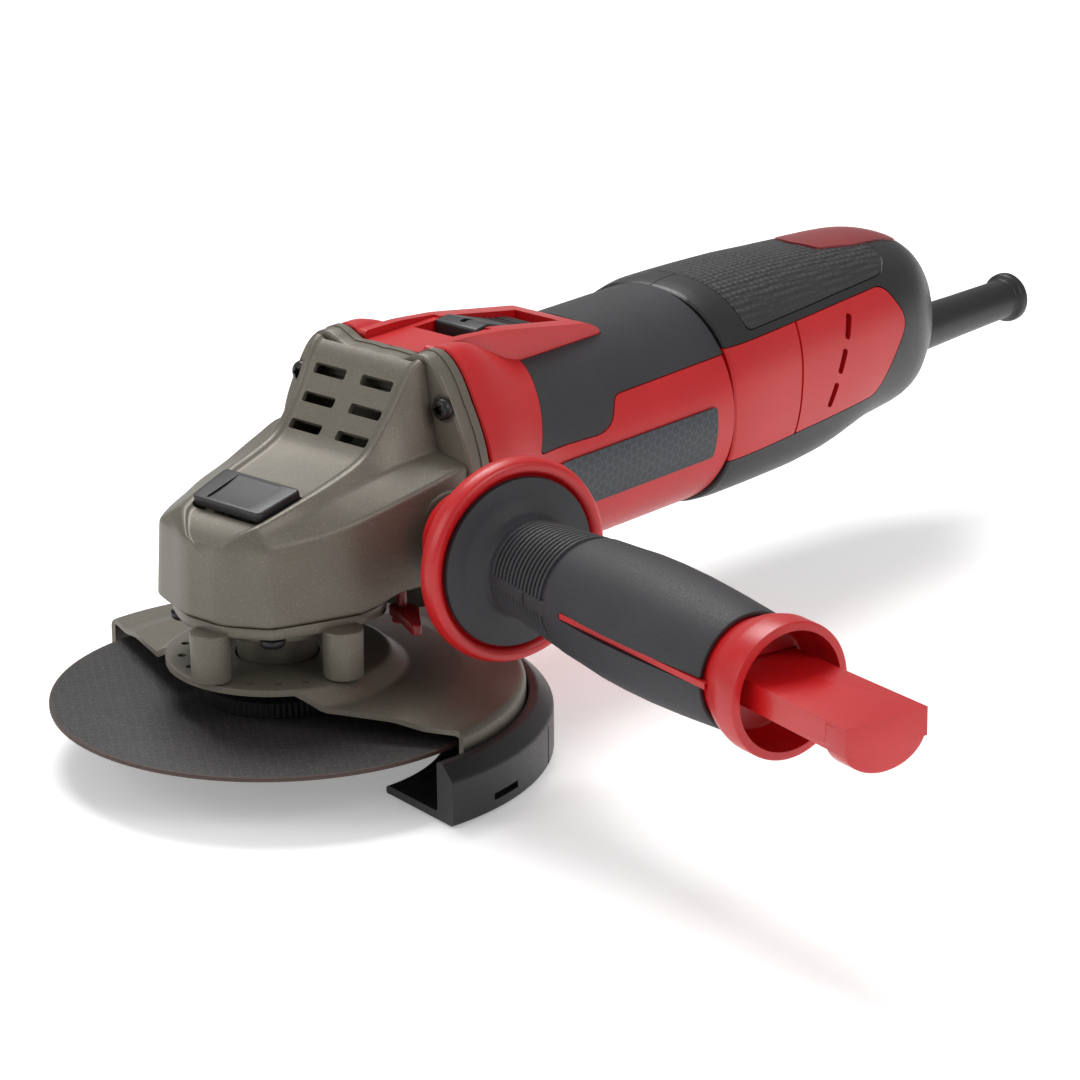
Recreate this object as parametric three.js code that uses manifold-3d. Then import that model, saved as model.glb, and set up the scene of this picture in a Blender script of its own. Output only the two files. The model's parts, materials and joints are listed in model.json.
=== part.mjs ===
// A 125 mm mains angle grinder, built as an assembly of separate pieces.
// Millimetres, +Z up. The spindle turns about Z, the motor about an axis along +Y,
// and the side handle leaves the gear head towards +X, canted a little forward.
// The origin is the centre of the spindle's lower end face.
import * as THREE from 'three';
import { mergeVertices } from 'three/addons/utils/BufferGeometryUtils.js';
import Module from 'manifold-3d';

const wasm = await Module();
wasm.setup();

// ---------------------------------------------------------------- driving dimensions
const ROUNDNESS = 0.5; // share of the full number of facets each turned shape is given
const GAP = 0.3; // clearance between pieces that touch in the real tool
const DISC_R = 62.5;
const DISC_THICK = 1.2;
const DISC_BORE_R = 11.1; // the standard 22.23 mm bore
const DISC_TOP = 9;
const SPINDLE_R = 6.9; // M14
const MOTOR_Z = 56.5; // height of the motor axis over the spindle's end face
const BARREL_R = 33;
const HEAD_BOTTOM = 37.5;
const COVER_BOTTOM = 34;
const COLLAR_TOP = 21.1;
const COLLAR_R = 30.5;
const POST_R = 5.4;
const POST_CIRCLE = 28;
const GUARD_R = 67.5;
const GUARD_SHEET = 1.5;
const SKIRT_BOTTOM = 1;
const FLANGE_Y = 39.5; // front face of the gear head's rear flange
const HOUSING_Y = 48; // where the gear head meets the motor housing
const PARTING_Y = 156; // where the motor housing meets the rear grip
const REAR_Y = 281;
const SKIN = 1.7; // soft skins and panels let into the housings
const WALL = 2.6;
const HANDLE_CANT = -13.4; // degrees about Z
const HANDLE_FROM = [66, 25, 54.9]; // centre of the handle's flange
const PINION_TEETH = 11;
const CROWN_TEETH = 36;

const COLOUR = {
  diecast: [0x7d786c, 0.55, 0.35],
  red: [0xcd1e20, 0.42, 0],
  redDark: [0x96262a, 0.5, 0],
  rubber: [0x3a383c, 0.8, 0],
  black: [0x1e1e20, 0.5, 0],
  steel: [0x9a9da0, 0.35, 0.9],
  darkSteel: [0x3b3c3f, 0.45, 0.8],
  disc: [0x262326, 0.85, 0],
  label: [0x08121c, 0.35, 0],
  copper: [0xb06a3a, 0.4, 0.8],
  carbon: [0x2a2a2c, 0.9, 0],
  brass: [0xb89a55, 0.4, 0.8],
  nylon: [0xd8d4c8, 0.6, 0],
};

// ---------------------------------------------------------------- geometry helpers
const V2 = (x, y) => new THREE.Vector2(x, y);

function weld(geometry) {
  const source = geometry.clone();
  source.deleteAttribute('normal');
  source.deleteAttribute('uv');
  const merged = mergeVertices(source, 1e-4);
  const index = merged.index.array;
  const position = merged.attributes.position;
  const kept = [];
  let volume = 0;
  const a = new THREE.Vector3();
  const b = new THREE.Vector3();
  const c = new THREE.Vector3();
  for (let i = 0; i < index.length; i += 3) {
    const [p, q, r] = [index[i], index[i + 1], index[i + 2]];
    if (p === q || q === r || r === p) continue;
    a.fromBufferAttribute(position, p);
    b.fromBufferAttribute(position, q);
    c.fromBufferAttribute(position, r);
    volume += a.dot(b.cross(c));
    kept.push(p, q, r);
  }
  if (volume < 0) kept.reverse();
  merged.setIndex(kept);
  return merged;
}

function solid(geometry) {
  const welded = weld(geometry);
  return new wasm.Manifold(new wasm.Mesh({
    numProp: 3,
    vertProperties: new Float32Array(welded.attributes.position.array),
    triVerts: new Uint32Array(welded.index.array),
  }));
}

function shape(manifold) {
  const mesh = manifold.simplify(0.005).getMesh();
  const geometry = new THREE.BufferGeometry();
  geometry.setAttribute('position', new THREE.BufferAttribute(new Float32Array(mesh.vertProperties), 3));
  geometry.setIndex(new THREE.BufferAttribute(new Uint32Array(mesh.triVerts), 1));
  return geometry;
}

const join = (first, ...rest) => rest.reduce((sum, next) => sum.add(next), first);
const cut = (first, ...rest) => rest.reduce((sum, next) => sum.subtract(next), first);

function box(x0, x1, y0, y1, z0, z1) {
  const geometry = new THREE.BoxGeometry(x1 - x0, y1 - y0, z1 - z0);
  return geometry.translate((x0 + x1) / 2, (y0 + y1) / 2, (z0 + z1) / 2);
}

// A turned shape: profile is a list of [radius, height]; it closes on the axis or on itself.
function turnedY(profile, segments = 32) {
  const points = profile.map(([radius, height]) => V2(radius, height));
  if (profile[0][0] > 0) points.push(points[0].clone());
  return new THREE.LatheGeometry(points, Math.max(8, Math.round(segments * ROUNDNESS)));
}
const turnedZ = (profile, segments) => turnedY(profile, segments).rotateX(Math.PI / 2);
const turnedX = (profile, segments) => turnedY(profile, segments).rotateZ(-Math.PI / 2);

const ringProfile = (inner, outer, from, to) => [[inner, from], [outer, from], [outer, to], [inner, to]];
const rodProfile = (radius, from, to) => [[0, from], [radius, from], [radius, to], [0, to]];
const discZ = (radius, from, to, segments) => turnedZ(rodProfile(radius, from, to), segments);
const tubeZ = (inner, outer, from, to, segments) => turnedZ(ringProfile(inner, outer, from, to), segments);

function prism(outline, depth) {
  const face = new THREE.Shape(outline.map(([x, y]) => V2(x, y)));
  return new THREE.ExtrudeGeometry(face, { depth, bevelEnabled: false, curveSegments: 8 });
}
const prismZ = (outline, z0, z1) => prism(outline, z1 - z0).translate(0, 0, z0);
// outline given as [y, z], drawn out along X
function prismX(outline, x0, x1) {
  const geometry = prism(outline, x1 - x0);
  geometry.rotateY(Math.PI / 2).rotateX(Math.PI / 2);
  return geometry.translate(x0, 0, 0);
}
// outline given as [x, z], drawn out along Y
const prismY = (outline, y0, y1) => prism(outline, y1 - y0).rotateX(Math.PI / 2).translate(0, y1, 0);

// Skins a stack of equal-length rings of [x, y, z] points into one closed body.
function loft(rings) {
  const count = rings[0].length;
  const positions = rings.flat(2);
  const faces = [];
  const at = (ring, i) => ring * count + (i % count);
  for (let ring = 0; ring + 1 < rings.length; ring += 1) {
    for (let i = 0; i < count; i += 1) {
      faces.push(at(ring, i), at(ring, i + 1), at(ring + 1, i));
      faces.push(at(ring, i + 1), at(ring + 1, i + 1), at(ring + 1, i));
    }
  }
  for (const ring of [0, rings.length - 1]) {
    const middle = [0, 1, 2].map((axis) => rings[ring].reduce((sum, point) => sum + point[axis], 0) / count);
    const hub = positions.length / 3;
    positions.push(...middle);
    for (let i = 0; i < count; i += 1) {
      if (ring === 0) faces.push(hub, at(ring, i + 1), at(ring, i));
      else faces.push(hub, at(ring, i), at(ring, i + 1));
    }
  }
  const geometry = new THREE.BufferGeometry();
  geometry.setAttribute('position', new THREE.Float32BufferAttribute(positions, 3));
  geometry.setIndex(faces);
  return geometry;
}

const lerp = THREE.MathUtils.lerp;
const smooth = THREE.MathUtils.smoothstep;
const radians = THREE.MathUtils.degToRad;
const polar = (radius, degrees) => [radius * Math.cos(radians(degrees)), radius * Math.sin(radians(degrees))];

function piece(name, geometry, finish) {
  const [color, roughness, metalness] = COLOUR[finish];
  const clean = weld(geometry);
  clean.computeVertexNormals();
  const mesh = new THREE.Mesh(clean, new THREE.MeshStandardMaterial({ color, roughness, metalness }));
  mesh.name = name;
  return mesh;
}

// A pan-head screw along +Z with its head's underside at z = 0, as one turned body.
function screw(headR, headH, shankR, length) {
  return turnedZ([[0, -length], [shankR, -length], [shankR, 0], [headR, 0], [headR, headH * 0.55],
    [headR * 0.7, headH], [0, headH]], 16);
}

// ---------------------------------------------------------------- gear head
// Cross-sections of the die-cast head from the nose back. Each row holds, for one Y:
// lower half-width, shoulder height, inner half-width and height of the sloping ledge,
// half-width over the top ribs, rib height, and the height of the underside.
const HEAD_SECTIONS = [
  [-28.0, 5.0, 57.6, 4.4, 58.4, 3.8, 59.2, 37.5],
  [-26.8, 9.0, 58.0, 8.2, 59.4, 7.4, 60.2, 37.5],
  [-24.1, 14.0, 58.6, 11.6, 61.2, 10.8, 62.4, 37.5],
  [-20.9, 19.2, 59.1, 14.6, 62.6, 13.6, 64.2, 37.5],
  [-19.9, 20.0, 59.3, 15.2, 62.9, 14.2, 64.6, 37.5],
  [-8.0, 25.2, 60.6, 18.4, 65.0, 16.4, 68.0, 37.5],
  [3.5, 29.6, 63.4, 20.4, 68.0, 17.0, 70.7, 37.5],
  [17.5, 32.4, 66.6, 22.0, 70.6, 17.6, 75.0, 40.5],
  [27.0, 34.0, 68.8, 23.0, 72.2, 18.4, 84.7, 40.5],
  [38.0, 35.4, 71.0, 24.0, 73.4, 19.8, 98.2, 40.5],
  [40.5, 35.0, 70.8, 23.8, 73.2, 19.4, 96.4, 40.5],
];
const LEFT_FULLER = 5; // the nose stands this much wider on the side away from the handle

function headRings(inset) {
  const sections = HEAD_SECTIONS.filter(([y]) => y >= HEAD_SECTIONS[0][0] + inset);
  const last = sections.length - 1;
  return sections.map(([y, wide, zShoulder, wLedge, zLedge, wRib, zRib, zBottom], row) => {
    const narrow = (half) => Math.max(half - inset, 2);
    const bottom = zBottom - (inset > 0 ? 1 : 0);
    const draft = lerp(1.6, 0.4, smooth(y, -20, 20)) * smooth(y, -28, -24);
    const half = [
      [narrow(wide), bottom], [narrow(wide - draft / 2), lerp(bottom, zShoulder, 0.5)],
      [narrow(wide - draft), zShoulder - inset * 0.4], [narrow(wLedge), zLedge - inset],
      [narrow(wRib), zRib - inset], [Math.max(narrow(wRib) - 1.6, 1), zRib - inset],
      [Math.max(narrow(wRib) - 3, 0.5), zRib - 1 - inset],
    ];
    const fuller = LEFT_FULLER * smooth(y, -28, -21) * (1 - smooth(y, -14, 14));
    const share = [1, 1, 1, 0.5, 0, 0, 0];
    const place = y - (row === last ? inset * 0.8 : 0);
    const right = half.map(([x, z]) => [x, place, z]);
    const left = half.map(([x, z], i) => [-x - fuller * share[i], place, z]).reverse();
    return [...right, ...left];
  });
}

// Outline of the joint between gear head and motor housing, by angle about the motor axis.
const FLANGE_OUTLINE = [
  [-90, 32], [-64, 34.4], [-38, 37], [-20, 36.8], [0, 36], [21, 38.4], [46.7, 42.3], [63.4, 46.9], [90, 41.9],
];

function flangeRadius(degrees) {
  const folded = Math.abs(degrees) > 90 ? Math.sign(degrees) * 180 - degrees : degrees;
  const above = FLANGE_OUTLINE.findIndex(([angle]) => angle >= folded);
  if (above <= 0) return FLANGE_OUTLINE[0][1];
  const [angle0, radius0] = FLANGE_OUTLINE[above - 1];
  const [angle1, radius1] = FLANGE_OUTLINE[above];
  return lerp(radius0, radius1, (folded - angle0) / (angle1 - angle0));
}

const FLANGE_ANGLES = [-90, -77, -64, -51, -38, -20, 0, 10, 21, 34, 46.7, 55, 63.4, 76, 90];
const FULL_ANGLES = [
  ...FLANGE_ANGLES,
  ...FLANGE_ANGLES.slice(1, -1).reverse().map((angle) => 180 - angle),
].map((angle) => (angle > 180 ? angle - 360 : angle));

function flangeOutline(inset) {
  return FULL_ANGLES.map((angle) => {
    const [x, z] = polar(flangeRadius(angle) - inset, angle);
    return [x, z + MOTOR_Z];
  });
}

const SLOPE = { y0: 17.5, z0: 75, y1: 38, z1: 98.2 };
const SLOPE_ANGLE = Math.atan2(SLOPE.z1 - SLOPE.z0, SLOPE.y1 - SLOPE.y0);
const VENT = { rows: 3, inner: 2.9, outer: 14.6, height: 3, first: 0.155, pitch: 0.27 };

function ventCutters() {
  const cutters = [];
  for (let row = 0; row < VENT.rows; row += 1) {
    const along = VENT.first + row * VENT.pitch;
    const y = lerp(SLOPE.y0, SLOPE.y1, along);
    const z = lerp(SLOPE.z0, SLOPE.z1, along);
    for (const side of [-1, 1]) {
      const slot = new THREE.BoxGeometry(VENT.outer - VENT.inner, VENT.height, 16);
      slot.translate(side * (VENT.outer + VENT.inner) / 2, 0, 0);
      cutters.push(solid(slot.rotateX(SLOPE_ANGLE).translate(0, y, z)));
    }
  }
  return cutters;
}

const BUTTON = { y: -10.2, z: 66.4, tilt: radians(14), length: 15.2, front: 12.6, back: 14.2 };

function buttonOutline(grow) {
  const half = BUTTON.length / 2 + grow;
  return [[-BUTTON.front - grow, -half], [BUTTON.front + grow, -half], [BUTTON.back + grow, half],
    [-BUTTON.back - grow, half]];
}

const PIN_Y = -2.5; // the lock pin stands forward of the button's middle
const onButton = (geometry) => geometry.rotateX(BUTTON.tilt).translate(0, BUTTON.y, BUTTON.z);

const STUD_R = 3.9; // M8
const HEAD_SCREWS = [[26.5, 85.6], [-26.5, 85.6], [26, 37], [-26, 37]];

// Turns a shape drawn along +X into the side handle's place, or into its mirror place on the left.
function handleFrame(geometry, side = 1) {
  const [x, y, z] = HANDLE_FROM;
  const turn = radians(side > 0 ? HANDLE_CANT : 180 - HANDLE_CANT);
  return geometry.rotateZ(turn).translate(side * x, y, z);
}

const BOSS = { from: -34, to: -27 };

function gearHousing() {
  const body = join(
    solid(loft(headRings(0))),
    solid(prismY(flangeOutline(0), FLANGE_Y, HOUSING_Y - GAP)),
  );
  const screwRelief = HEAD_SCREWS.map(([x, z]) => (
    solid(turnedY(rodProfile(4, 30, FLANGE_Y + 0.4), 20).translate(x, 0, z))));
  const screwHoles = HEAD_SCREWS.map(([x, z]) => (
    solid(turnedY(rodProfile(2.3, FLANGE_Y - 6, HOUSING_Y + 1), 12).translate(x, 0, z))));
  const bosses = [1, -1].map((side) => (
    solid(handleFrame(turnedX(rodProfile(8.5, BOSS.from - 2, BOSS.to), 24), side))));
  const threadHoles = [1, -1].map((side) => (
    solid(handleFrame(turnedX(rodProfile(STUD_R + GAP, BOSS.from - 14, BOSS.to + 1), 16), side))));
  const cavity = join(
    solid(loft(headRings(3.4))),
    solid(turnedY(rodProfile(25, 30, HOUSING_Y + 1), 32).translate(0, 0, MOTOR_Z)),
  );
  const insideHead = solid(loft(headRings(1)));
  const buttonWell = solid(onButton(prismZ(buttonOutline(0.5), -3.6, 8)));
  const pinHole = solid(onButton(discZ(3.2, -12, 2, 16).translate(0, PIN_Y, 0)));
  const buttonSeat = solid(onButton(prismZ(buttonOutline(2.0), -6.4, -0.4))).intersect(insideHead);
  const bushSeat = solid(discZ(8.6, 56.2, 84, 24)).intersect(insideHead);
  const bushHole = solid(discZ(6.6, 50, 62, 24));
  let housing = cut(join(body, ...bosses), ...screwRelief, cavity);
  housing = join(housing, bushSeat, buttonSeat);
  return shape(cut(housing, buttonWell, pinHole, bushHole, ...threadHoles, ...screwHoles, ...ventCutters()));
}

const COVER_OUTLINE = [
  [5, -27.6], [9, -26.4], [14, -23.8], [19, -20.7], [20.2, -18.8], [24.6, -9], [29, 3], [28, 12], [22, 21],
  [13, 27], [4, 29.5],
];
const POST_ANGLES = [-84, -6, 96, 174];
const COVER_SCREWS = [[17, -18.5], [-17, -18.5], [20, 17], [-20, 17]];
const SPIGOT_R = 11;
const BEARING = { inner: 8.2, outer: 16, from: 34.8, to: 43.8 };

function bearingCover() {
  const mirrored = COVER_OUTLINE.map(([x, y]) => [-x, y]).reverse();
  const posts = POST_ANGLES.map((angle) => {
    const [x, y] = polar(POST_CIRCLE, angle);
    return solid(discZ(POST_R, COLLAR_TOP + GAP, COVER_BOTTOM + 1, 20).translate(x, y, 0));
  });
  const neck = turnedZ([[0, 17.8], [SPIGOT_R, 17.8], [SPIGOT_R, 18], [10.1, 18], [10.1, 19.2], [SPIGOT_R, 19.2],
    [SPIGOT_R, 30.5], [20, 30.5], [20, 37], [19.6, 43.5], [0, 43.5]], 32);
  const bore = turnedZ([[0, 10], [8.2, 10], [8.2, BEARING.from - GAP], [BEARING.outer + GAP, BEARING.from - GAP],
    [BEARING.outer + GAP, 50], [0, 50]], 32);
  const holes = COVER_SCREWS.map(([x, y]) => solid(discZ(2.3, 20, 40, 12).translate(x, y, 0)));
  const plate = prismZ([...COVER_OUTLINE, ...mirrored], COVER_BOTTOM, HEAD_BOTTOM - GAP);
  return shape(cut(join(solid(plate), ...posts, solid(neck)), solid(bore), ...holes));
}

// ---------------------------------------------------------------- spindle and gears
function toothedWheel(count, innerR, outerR, from, to, share) {
  const outline = [];
  for (let tooth = 0; tooth < count; tooth += 1) {
    const pitch = 360 / count;
    const start = tooth * pitch;
    outline.push(polar(outerR, start), polar(outerR, start + pitch * share));
    outline.push(polar(innerR, start + pitch * (share + 0.1)), polar(innerR, start + pitch * 0.9));
  }
  return prismZ(outline, from, to);
}

function spindle() {
  return turnedZ([[0, 0], [SPINDLE_R - 0.7, 0], [SPINDLE_R, 0.8], [SPINDLE_R, 9], [7.6, 9],
    [7.6, 49.4], [4, 49.4], [4, 61.4], [0, 61.4]], 28);
}

const CROWN = { bottom: 44.2, face: 47.2, top: 49.2, outer: 20, inner: 10.5 };

function crownGear() {
  const blank = turnedZ([[7.9, CROWN.bottom], [18.5, CROWN.bottom], [CROWN.outer, CROWN.face - 1.2],
    [CROWN.outer, CROWN.top], [CROWN.inner, CROWN.top], [7.9, CROWN.top]], CROWN_TEETH);
  const gaps = [];
  for (let tooth = 0; tooth < CROWN_TEETH; tooth += 1) {
    const notch = box(CROWN.inner + 1, CROWN.outer + 1, -0.75, 0.75, CROWN.face, CROWN.top + 1);
    gaps.push(solid(notch.rotateZ(radians((tooth + 0.25) * (360 / CROWN_TEETH)))));
  }
  return shape(cut(solid(blank), ...gaps));
}

const PINION = { from: 9, to: 20, small: 4.9, large: 7, bore: 3.3 };

function pinion() {
  const cone = turnedY([[0, PINION.from], [PINION.small, PINION.from], [PINION.large, PINION.to], [0, PINION.to]], 22);
  const teeth = toothedWheel(PINION_TEETH, 5, 8, -PINION.to - 1, -PINION.from + 1, 0.4).rotateX(Math.PI / 2);
  const hub = turnedY(rodProfile(4.7, PINION.from, PINION.to + 4), 22);
  const bore = turnedY(rodProfile(PINION.bore, 0, 40), 16);
  const toothed = solid(cone).intersect(solid(teeth));
  return shape(cut(join(toothed, solid(hub)), solid(bore))).translate(0, 0, MOTOR_Z);
}

const bearing = ({ inner, outer, from, to }) => {
  const third = (outer - inner) / 3;
  return [[inner, from], [inner + third, from], [inner + third, from + 0.8], [outer - third, from + 0.8],
    [outer - third, from], [outer, from], [outer, to], [outer - third, to], [outer - third, to - 0.8],
    [inner + third, to - 0.8], [inner + third, to], [inner, to]];
};

function innerFlange() {
  const body = turnedZ([[7.9, 7.9], [10.8, 7.9], [10.8, DISC_TOP + GAP], [21, DISC_TOP + GAP], [21, 13.4],
    [19.4, 14.4], [12, 16.6], [7.9, 16.6]], 40);
  return body;
}

function flangeNut() {
  const bottom = 1.5;
  const top = DISC_TOP - DISC_THICK - GAP;
  const body = turnedZ([[SPINDLE_R + GAP, bottom], [12, bottom], [12.5, 2.6], [18.4, 2.6], [19, 3.2], [19, top],
    [SPINDLE_R + GAP, top]], 36);
  const holes = [0, 180].map((angle) => {
    const [x, y] = polar(15, angle);
    return solid(discZ(2.4, 0, 5.6, 14).translate(x, y, 0));
  });
  return shape(cut(solid(body), ...holes));
}

function cuttingDisc() {
  const bottom = DISC_TOP - DISC_THICK;
  return turnedZ(ringProfile(DISC_BORE_R, DISC_R, bottom, DISC_TOP), 60);
}

// ---------------------------------------------------------------- spindle lock
function lockButton() {
  const plate = solid(prismZ(buttonOutline(0), 0, 3));
  const dish = solid(prismZ(buttonOutline(-1.2), 2.3, 4));
  const socket = solid(discZ(2.4, -1, 1.6, 12).translate(0, PIN_Y, 0));
  return onButton(shape(cut(plate, dish, socket)));
}

const lockPin = () => onButton(turnedZ([[0, -13.2], [2.2, -13.2], [2.8, -12.4], [2.8, -0.3], [2, -0.3], [2, 1.3],
  [0, 1.3]], 16).translate(0, PIN_Y, 0));
const lockSpring = () => onButton(tubeZ(3.4, 4.5, -3.3, -0.3, 20).translate(0, PIN_Y, 0));

// ---------------------------------------------------------------- guard
const GUARD_TOP = [[30.5, COLLAR_TOP], [35.5, 16.7], [50, 16], [57.5, 14.2], [66, 14], [GUARD_R, 12.4]];
const GUARD_FRONT = { wingX: 66, wingY: 1, collarX: 23, collarY: -19 };

function frontCutter(cornerX, cornerY, innerX, innerY) {
  const far = 110;
  const slope = (cornerY - innerY) / (cornerX - innerX);
  const outerY = cornerY + slope * (far - cornerX);
  return prismZ([[-far, -far], [far, -far], [far, outerY], [cornerX, cornerY], [innerX, innerY],
    [-innerX, innerY], [-cornerX, cornerY], [-far, outerY]], -30, 60);
}

function wheelGuard() {
  const hub = SPIGOT_R + 0.4;
  const outer = [[hub, COLLAR_TOP], ...GUARD_TOP, [GUARD_R, SKIRT_BOTTOM]];
  const inner = [[GUARD_R - GUARD_SHEET, SKIRT_BOTTOM], [GUARD_R - GUARD_SHEET, 12], [65.2, 12.5], [57.3, 12.7],
    [49.8, 14.5], [35, 15.2], [30, COLLAR_TOP - GUARD_SHEET], [hub, COLLAR_TOP - GUARD_SHEET]];
  const shell = solid(turnedZ([...outer, ...inner], 44));
  const { wingX, wingY, collarX, collarY } = GUARD_FRONT;
  const front = prismZ([[-110, -110], [110, -110], [110, wingY], [wingX, wingY], [collarX, collarY],
    [-collarX, collarY], [-wingX, wingY], [-110, wingY]], -30, 60);
  const collar = solid(discZ(COLLAR_R, 0, 40, 44));
  const detents = [-150, -130, -110, -62, -45, -28].map((angle) => {
    const [x, y] = polar(26, angle);
    return solid(discZ(1.2, 10, 30, 6).translate(x, y, 0));
  });
  return shape(cut(shell, solid(front).subtract(collar), ...detents));
}

const CLIP = { inner: 45, wall: 68, outer: 75, top: 9, shoulder: 5, floor: -5.2, bottom: -7.5 };

function clipCover() {
  const ring = solid(turnedZ([[CLIP.wall, CLIP.top], [70.5, CLIP.top], [CLIP.outer, CLIP.shoulder],
    [CLIP.outer, CLIP.bottom], [CLIP.inner, CLIP.bottom], [CLIP.inner, CLIP.floor], [CLIP.wall, CLIP.floor]], 44));
  const slots = [8, 172].map((angle) => {
    const slot = box(72.5, 80, -5.5, 5.5, -4.6, -2.6);
    return solid(slot.rotateZ(radians(angle)));
  });
  const leftEnd = solid(box(-110, -20, -60, 16, -30, 60));
  return shape(cut(ring, solid(frontCutter(76, -11, 46, -5)), leftEnd, ...slots));
}

const retainingRing = () => tubeZ(10.4, 14, 18.2, 19.1, 28);

const LEVER = { x: 25, y: 23, z0: 30.4, z1: 33.4 };
function guardLever() {
  const arm = prismZ([[-3.4, -2], [2, -3.6], [13.5, -10], [15, -8], [4, 2.6], [-2, 3.4]], LEVER.z0, LEVER.z1);
  const pivot = turnedZ([[0, 29], [2.8, 29], [2.8, 30.6], [1.4, 31], [1.4, 40.2], [0, 40.2]], 14);
  return shape(join(solid(arm), solid(pivot))).translate(LEVER.x, LEVER.y, 0);
}

// ---------------------------------------------------------------- motor housing
const CIRCLE_FROM = 86; // the housing is round from here back
const HOOD = { half: 14, recess: 8.3, channel: 11, front: HOUSING_Y + GAP, rear: 118 };
const HOOD_PROFILE = [[HOOD.front, 80], [HOOD.front, 98.2], [62, 98], [78, 96.4], [100, 92.6], [113, 90.4],
  [HOOD.rear, 87.6], [HOOD.rear, 80]];

function housingRing(y, inset) {
  const blend = smooth(y, HOUSING_Y + 4, CIRCLE_FROM);
  return FULL_ANGLES.map((angle) => {
    const [x, z] = polar(lerp(flangeRadius(angle), BARREL_R, blend) - inset, angle);
    return [x, y, z + MOTOR_Z];
  });
}

const HOUSING_STATIONS = [HOUSING_Y + GAP, 55, 61.5, 69, 77.1, CIRCLE_FROM, PARTING_Y - GAP];
const housingBody = (inset) => solid(loft(HOUSING_STATIONS.map((y) => housingRing(y, inset))));
const wholeHousing = (inset, from, to) => solid(loft([from, ...HOUSING_STATIONS.slice(1, -1), to]
  .map((y) => housingRing(y, inset))));

// Side view [y, z] of the soft overmould; grow widens it for the pocket it sits in.
const overmouldRegion = (grow) => solid(prismX([[84 - grow, 110], [84.3 - grow, 86.5], [79.2 - grow, 79.4],
  [70.6 - grow, 66.1 - grow], [98 + grow, 65 - grow], [103 + grow, 66.8 - grow], [107.5 + grow, 73.5 - grow],
  [PARTING_Y + 1, 74 - grow], [PARTING_Y + 1, 110]], -60, 60));
const labelRegion = (side) => solid(side > 0 ? box(10, 60, 79, 147, 45.6, 61.2) : box(-60, -10, 79, 147, 45.6, 61.2));
const hoodBlock = (grow) => solid(prismX(HOOD_PROFILE.map(([y, z]) => [y + (y > 110 ? grow : 0), z + grow]),
  -HOOD.half - grow, HOOD.half + grow));

function motorHousing() {
  const body = housingBody(0);
  const softPocket = cut(wholeHousing(-2, 44, 158), wholeHousing(SKIN + GAP, 44, 158)).intersect(overmouldRegion(GAP));
  const recess = solid(box(-HOOD.recess, HOOD.recess, 65, 107, 87, 120));
  const channel = solid(box(-HOOD.channel, HOOD.channel, 40, 76, 96, 120));
  const leverSlot = solid(box(-3.6, 3.6, 76, 104, 80, 90));
  const bore = solid(turnedY(rodProfile(28.5, 70, 147.7), 40).translate(0, 0, MOTOR_Z));
  const fanBay = solid(turnedY(rodProfile(30, 40, 70.5), 40).translate(0, 0, MOTOR_Z));
  const rearHole = solid(turnedY(rodProfile(9.8, 140, 160), 24).translate(0, 0, MOTOR_Z));
  const airWindows = [30, 150, 210, 270, 330].map((angle) => {
    const window = turnedY(rodProfile(5.6, 140, 160), 16);
    const [x, z] = polar(19.5, angle);
    return solid(window.translate(x, 0, z + MOTOR_Z));
  });
  const rodNotch = solid(box(-5, 5, 140, 160, 82, 85.6));
  const screwHoles = HEAD_SCREWS.map(([x, z]) => (
    solid(turnedY(rodProfile(2.3, 40, 57), 12).translate(x, 0, z))));
  const shell = join(cut(body, softPocket), hoodBlock(0));
  return shape(cut(shell, bore, fanBay, rearHole, ...airWindows, rodNotch, recess, channel, leverSlot,
    ...screwHoles));
}

function housingOvermould() {
  const skin = cut(housingBody(0), housingBody(SKIN)).intersect(overmouldRegion(0));
  return shape(cut(skin, hoodBlock(GAP)));
}

// The rating plates stand just proud of the barrel.
const labelPlate = (side) => shape(cut(housingBody(-0.8), housingBody(-GAP)).intersect(labelRegion(side)));

function slideSwitch() {
  const body = prismX([[73, 87.4], [103, 87.4], [103, 90.6], [96, 91.8], [89, 93.6], [78, 97], [73, 96.4]],
    -7.8, 7.8);
  const ridges = [91.5, 94, 96.5, 99, 101.5].map((y) => solid(box(-8, 8, y, y + 1, 90.9, 96)));
  const tongue = solid(box(-2.8, 2.8, 86, 96, 83.5, 88));
  const rod = solid(box(-4, 4, 84, 183, 82.7, 84.2));
  return shape(cut(join(solid(body), tongue, rod), ...ridges));
}

// ---------------------------------------------------------------- motor
const onMotor = (geometry) => geometry.translate(0, 0, MOTOR_Z);
const STACK = { from: 72, to: 120 };
const STATOR = { outer: 25.8, inner: 18.3 };
const COIL = { inner: 19, outer: 23.6, low: 12, high: 27 };

const armatureShaft = () => onMotor(turnedY([[0, 9.5], [3, 9.5], [3, 26], [4, 26], [4, 155.5], [0, 155.5]], 20));

function rotorCore() {
  const core = turnedY(ringProfile(4.3, 17.8, STACK.from, STACK.to), 36);
  const slots = [];
  for (let slot = 0; slot < 12; slot += 1) {
    const groove = box(14.5, 20, STACK.from - 1, STACK.to + 1, -1.1, 1.1);
    slots.push(solid(groove.rotateY(radians(slot * 30))));
  }
  return onMotor(shape(cut(solid(core), ...slots)));
}

function rotorWinding() {
  const ends = [[63, STACK.from - GAP], [STACK.to + GAP, 128]].map(([from, to]) => (
    solid(turnedY([[4.3, from], [12, from], [16.6, from + 1.5], [16.6, to - 1.5], [12, to], [4.3, to]], 24))));
  const bars = [];
  for (let slot = 0; slot < 12; slot += 1) {
    const bar = box(15, 16.4, STACK.from - 2, STACK.to + 2, -0.7, 0.7);
    bars.push(solid(bar.rotateY(radians(slot * 30))));
  }
  return onMotor(shape(join(...ends, ...bars)));
}
const commutator = () => onMotor(turnedY(ringProfile(4.3, 11, 130, 144), 24));

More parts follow.
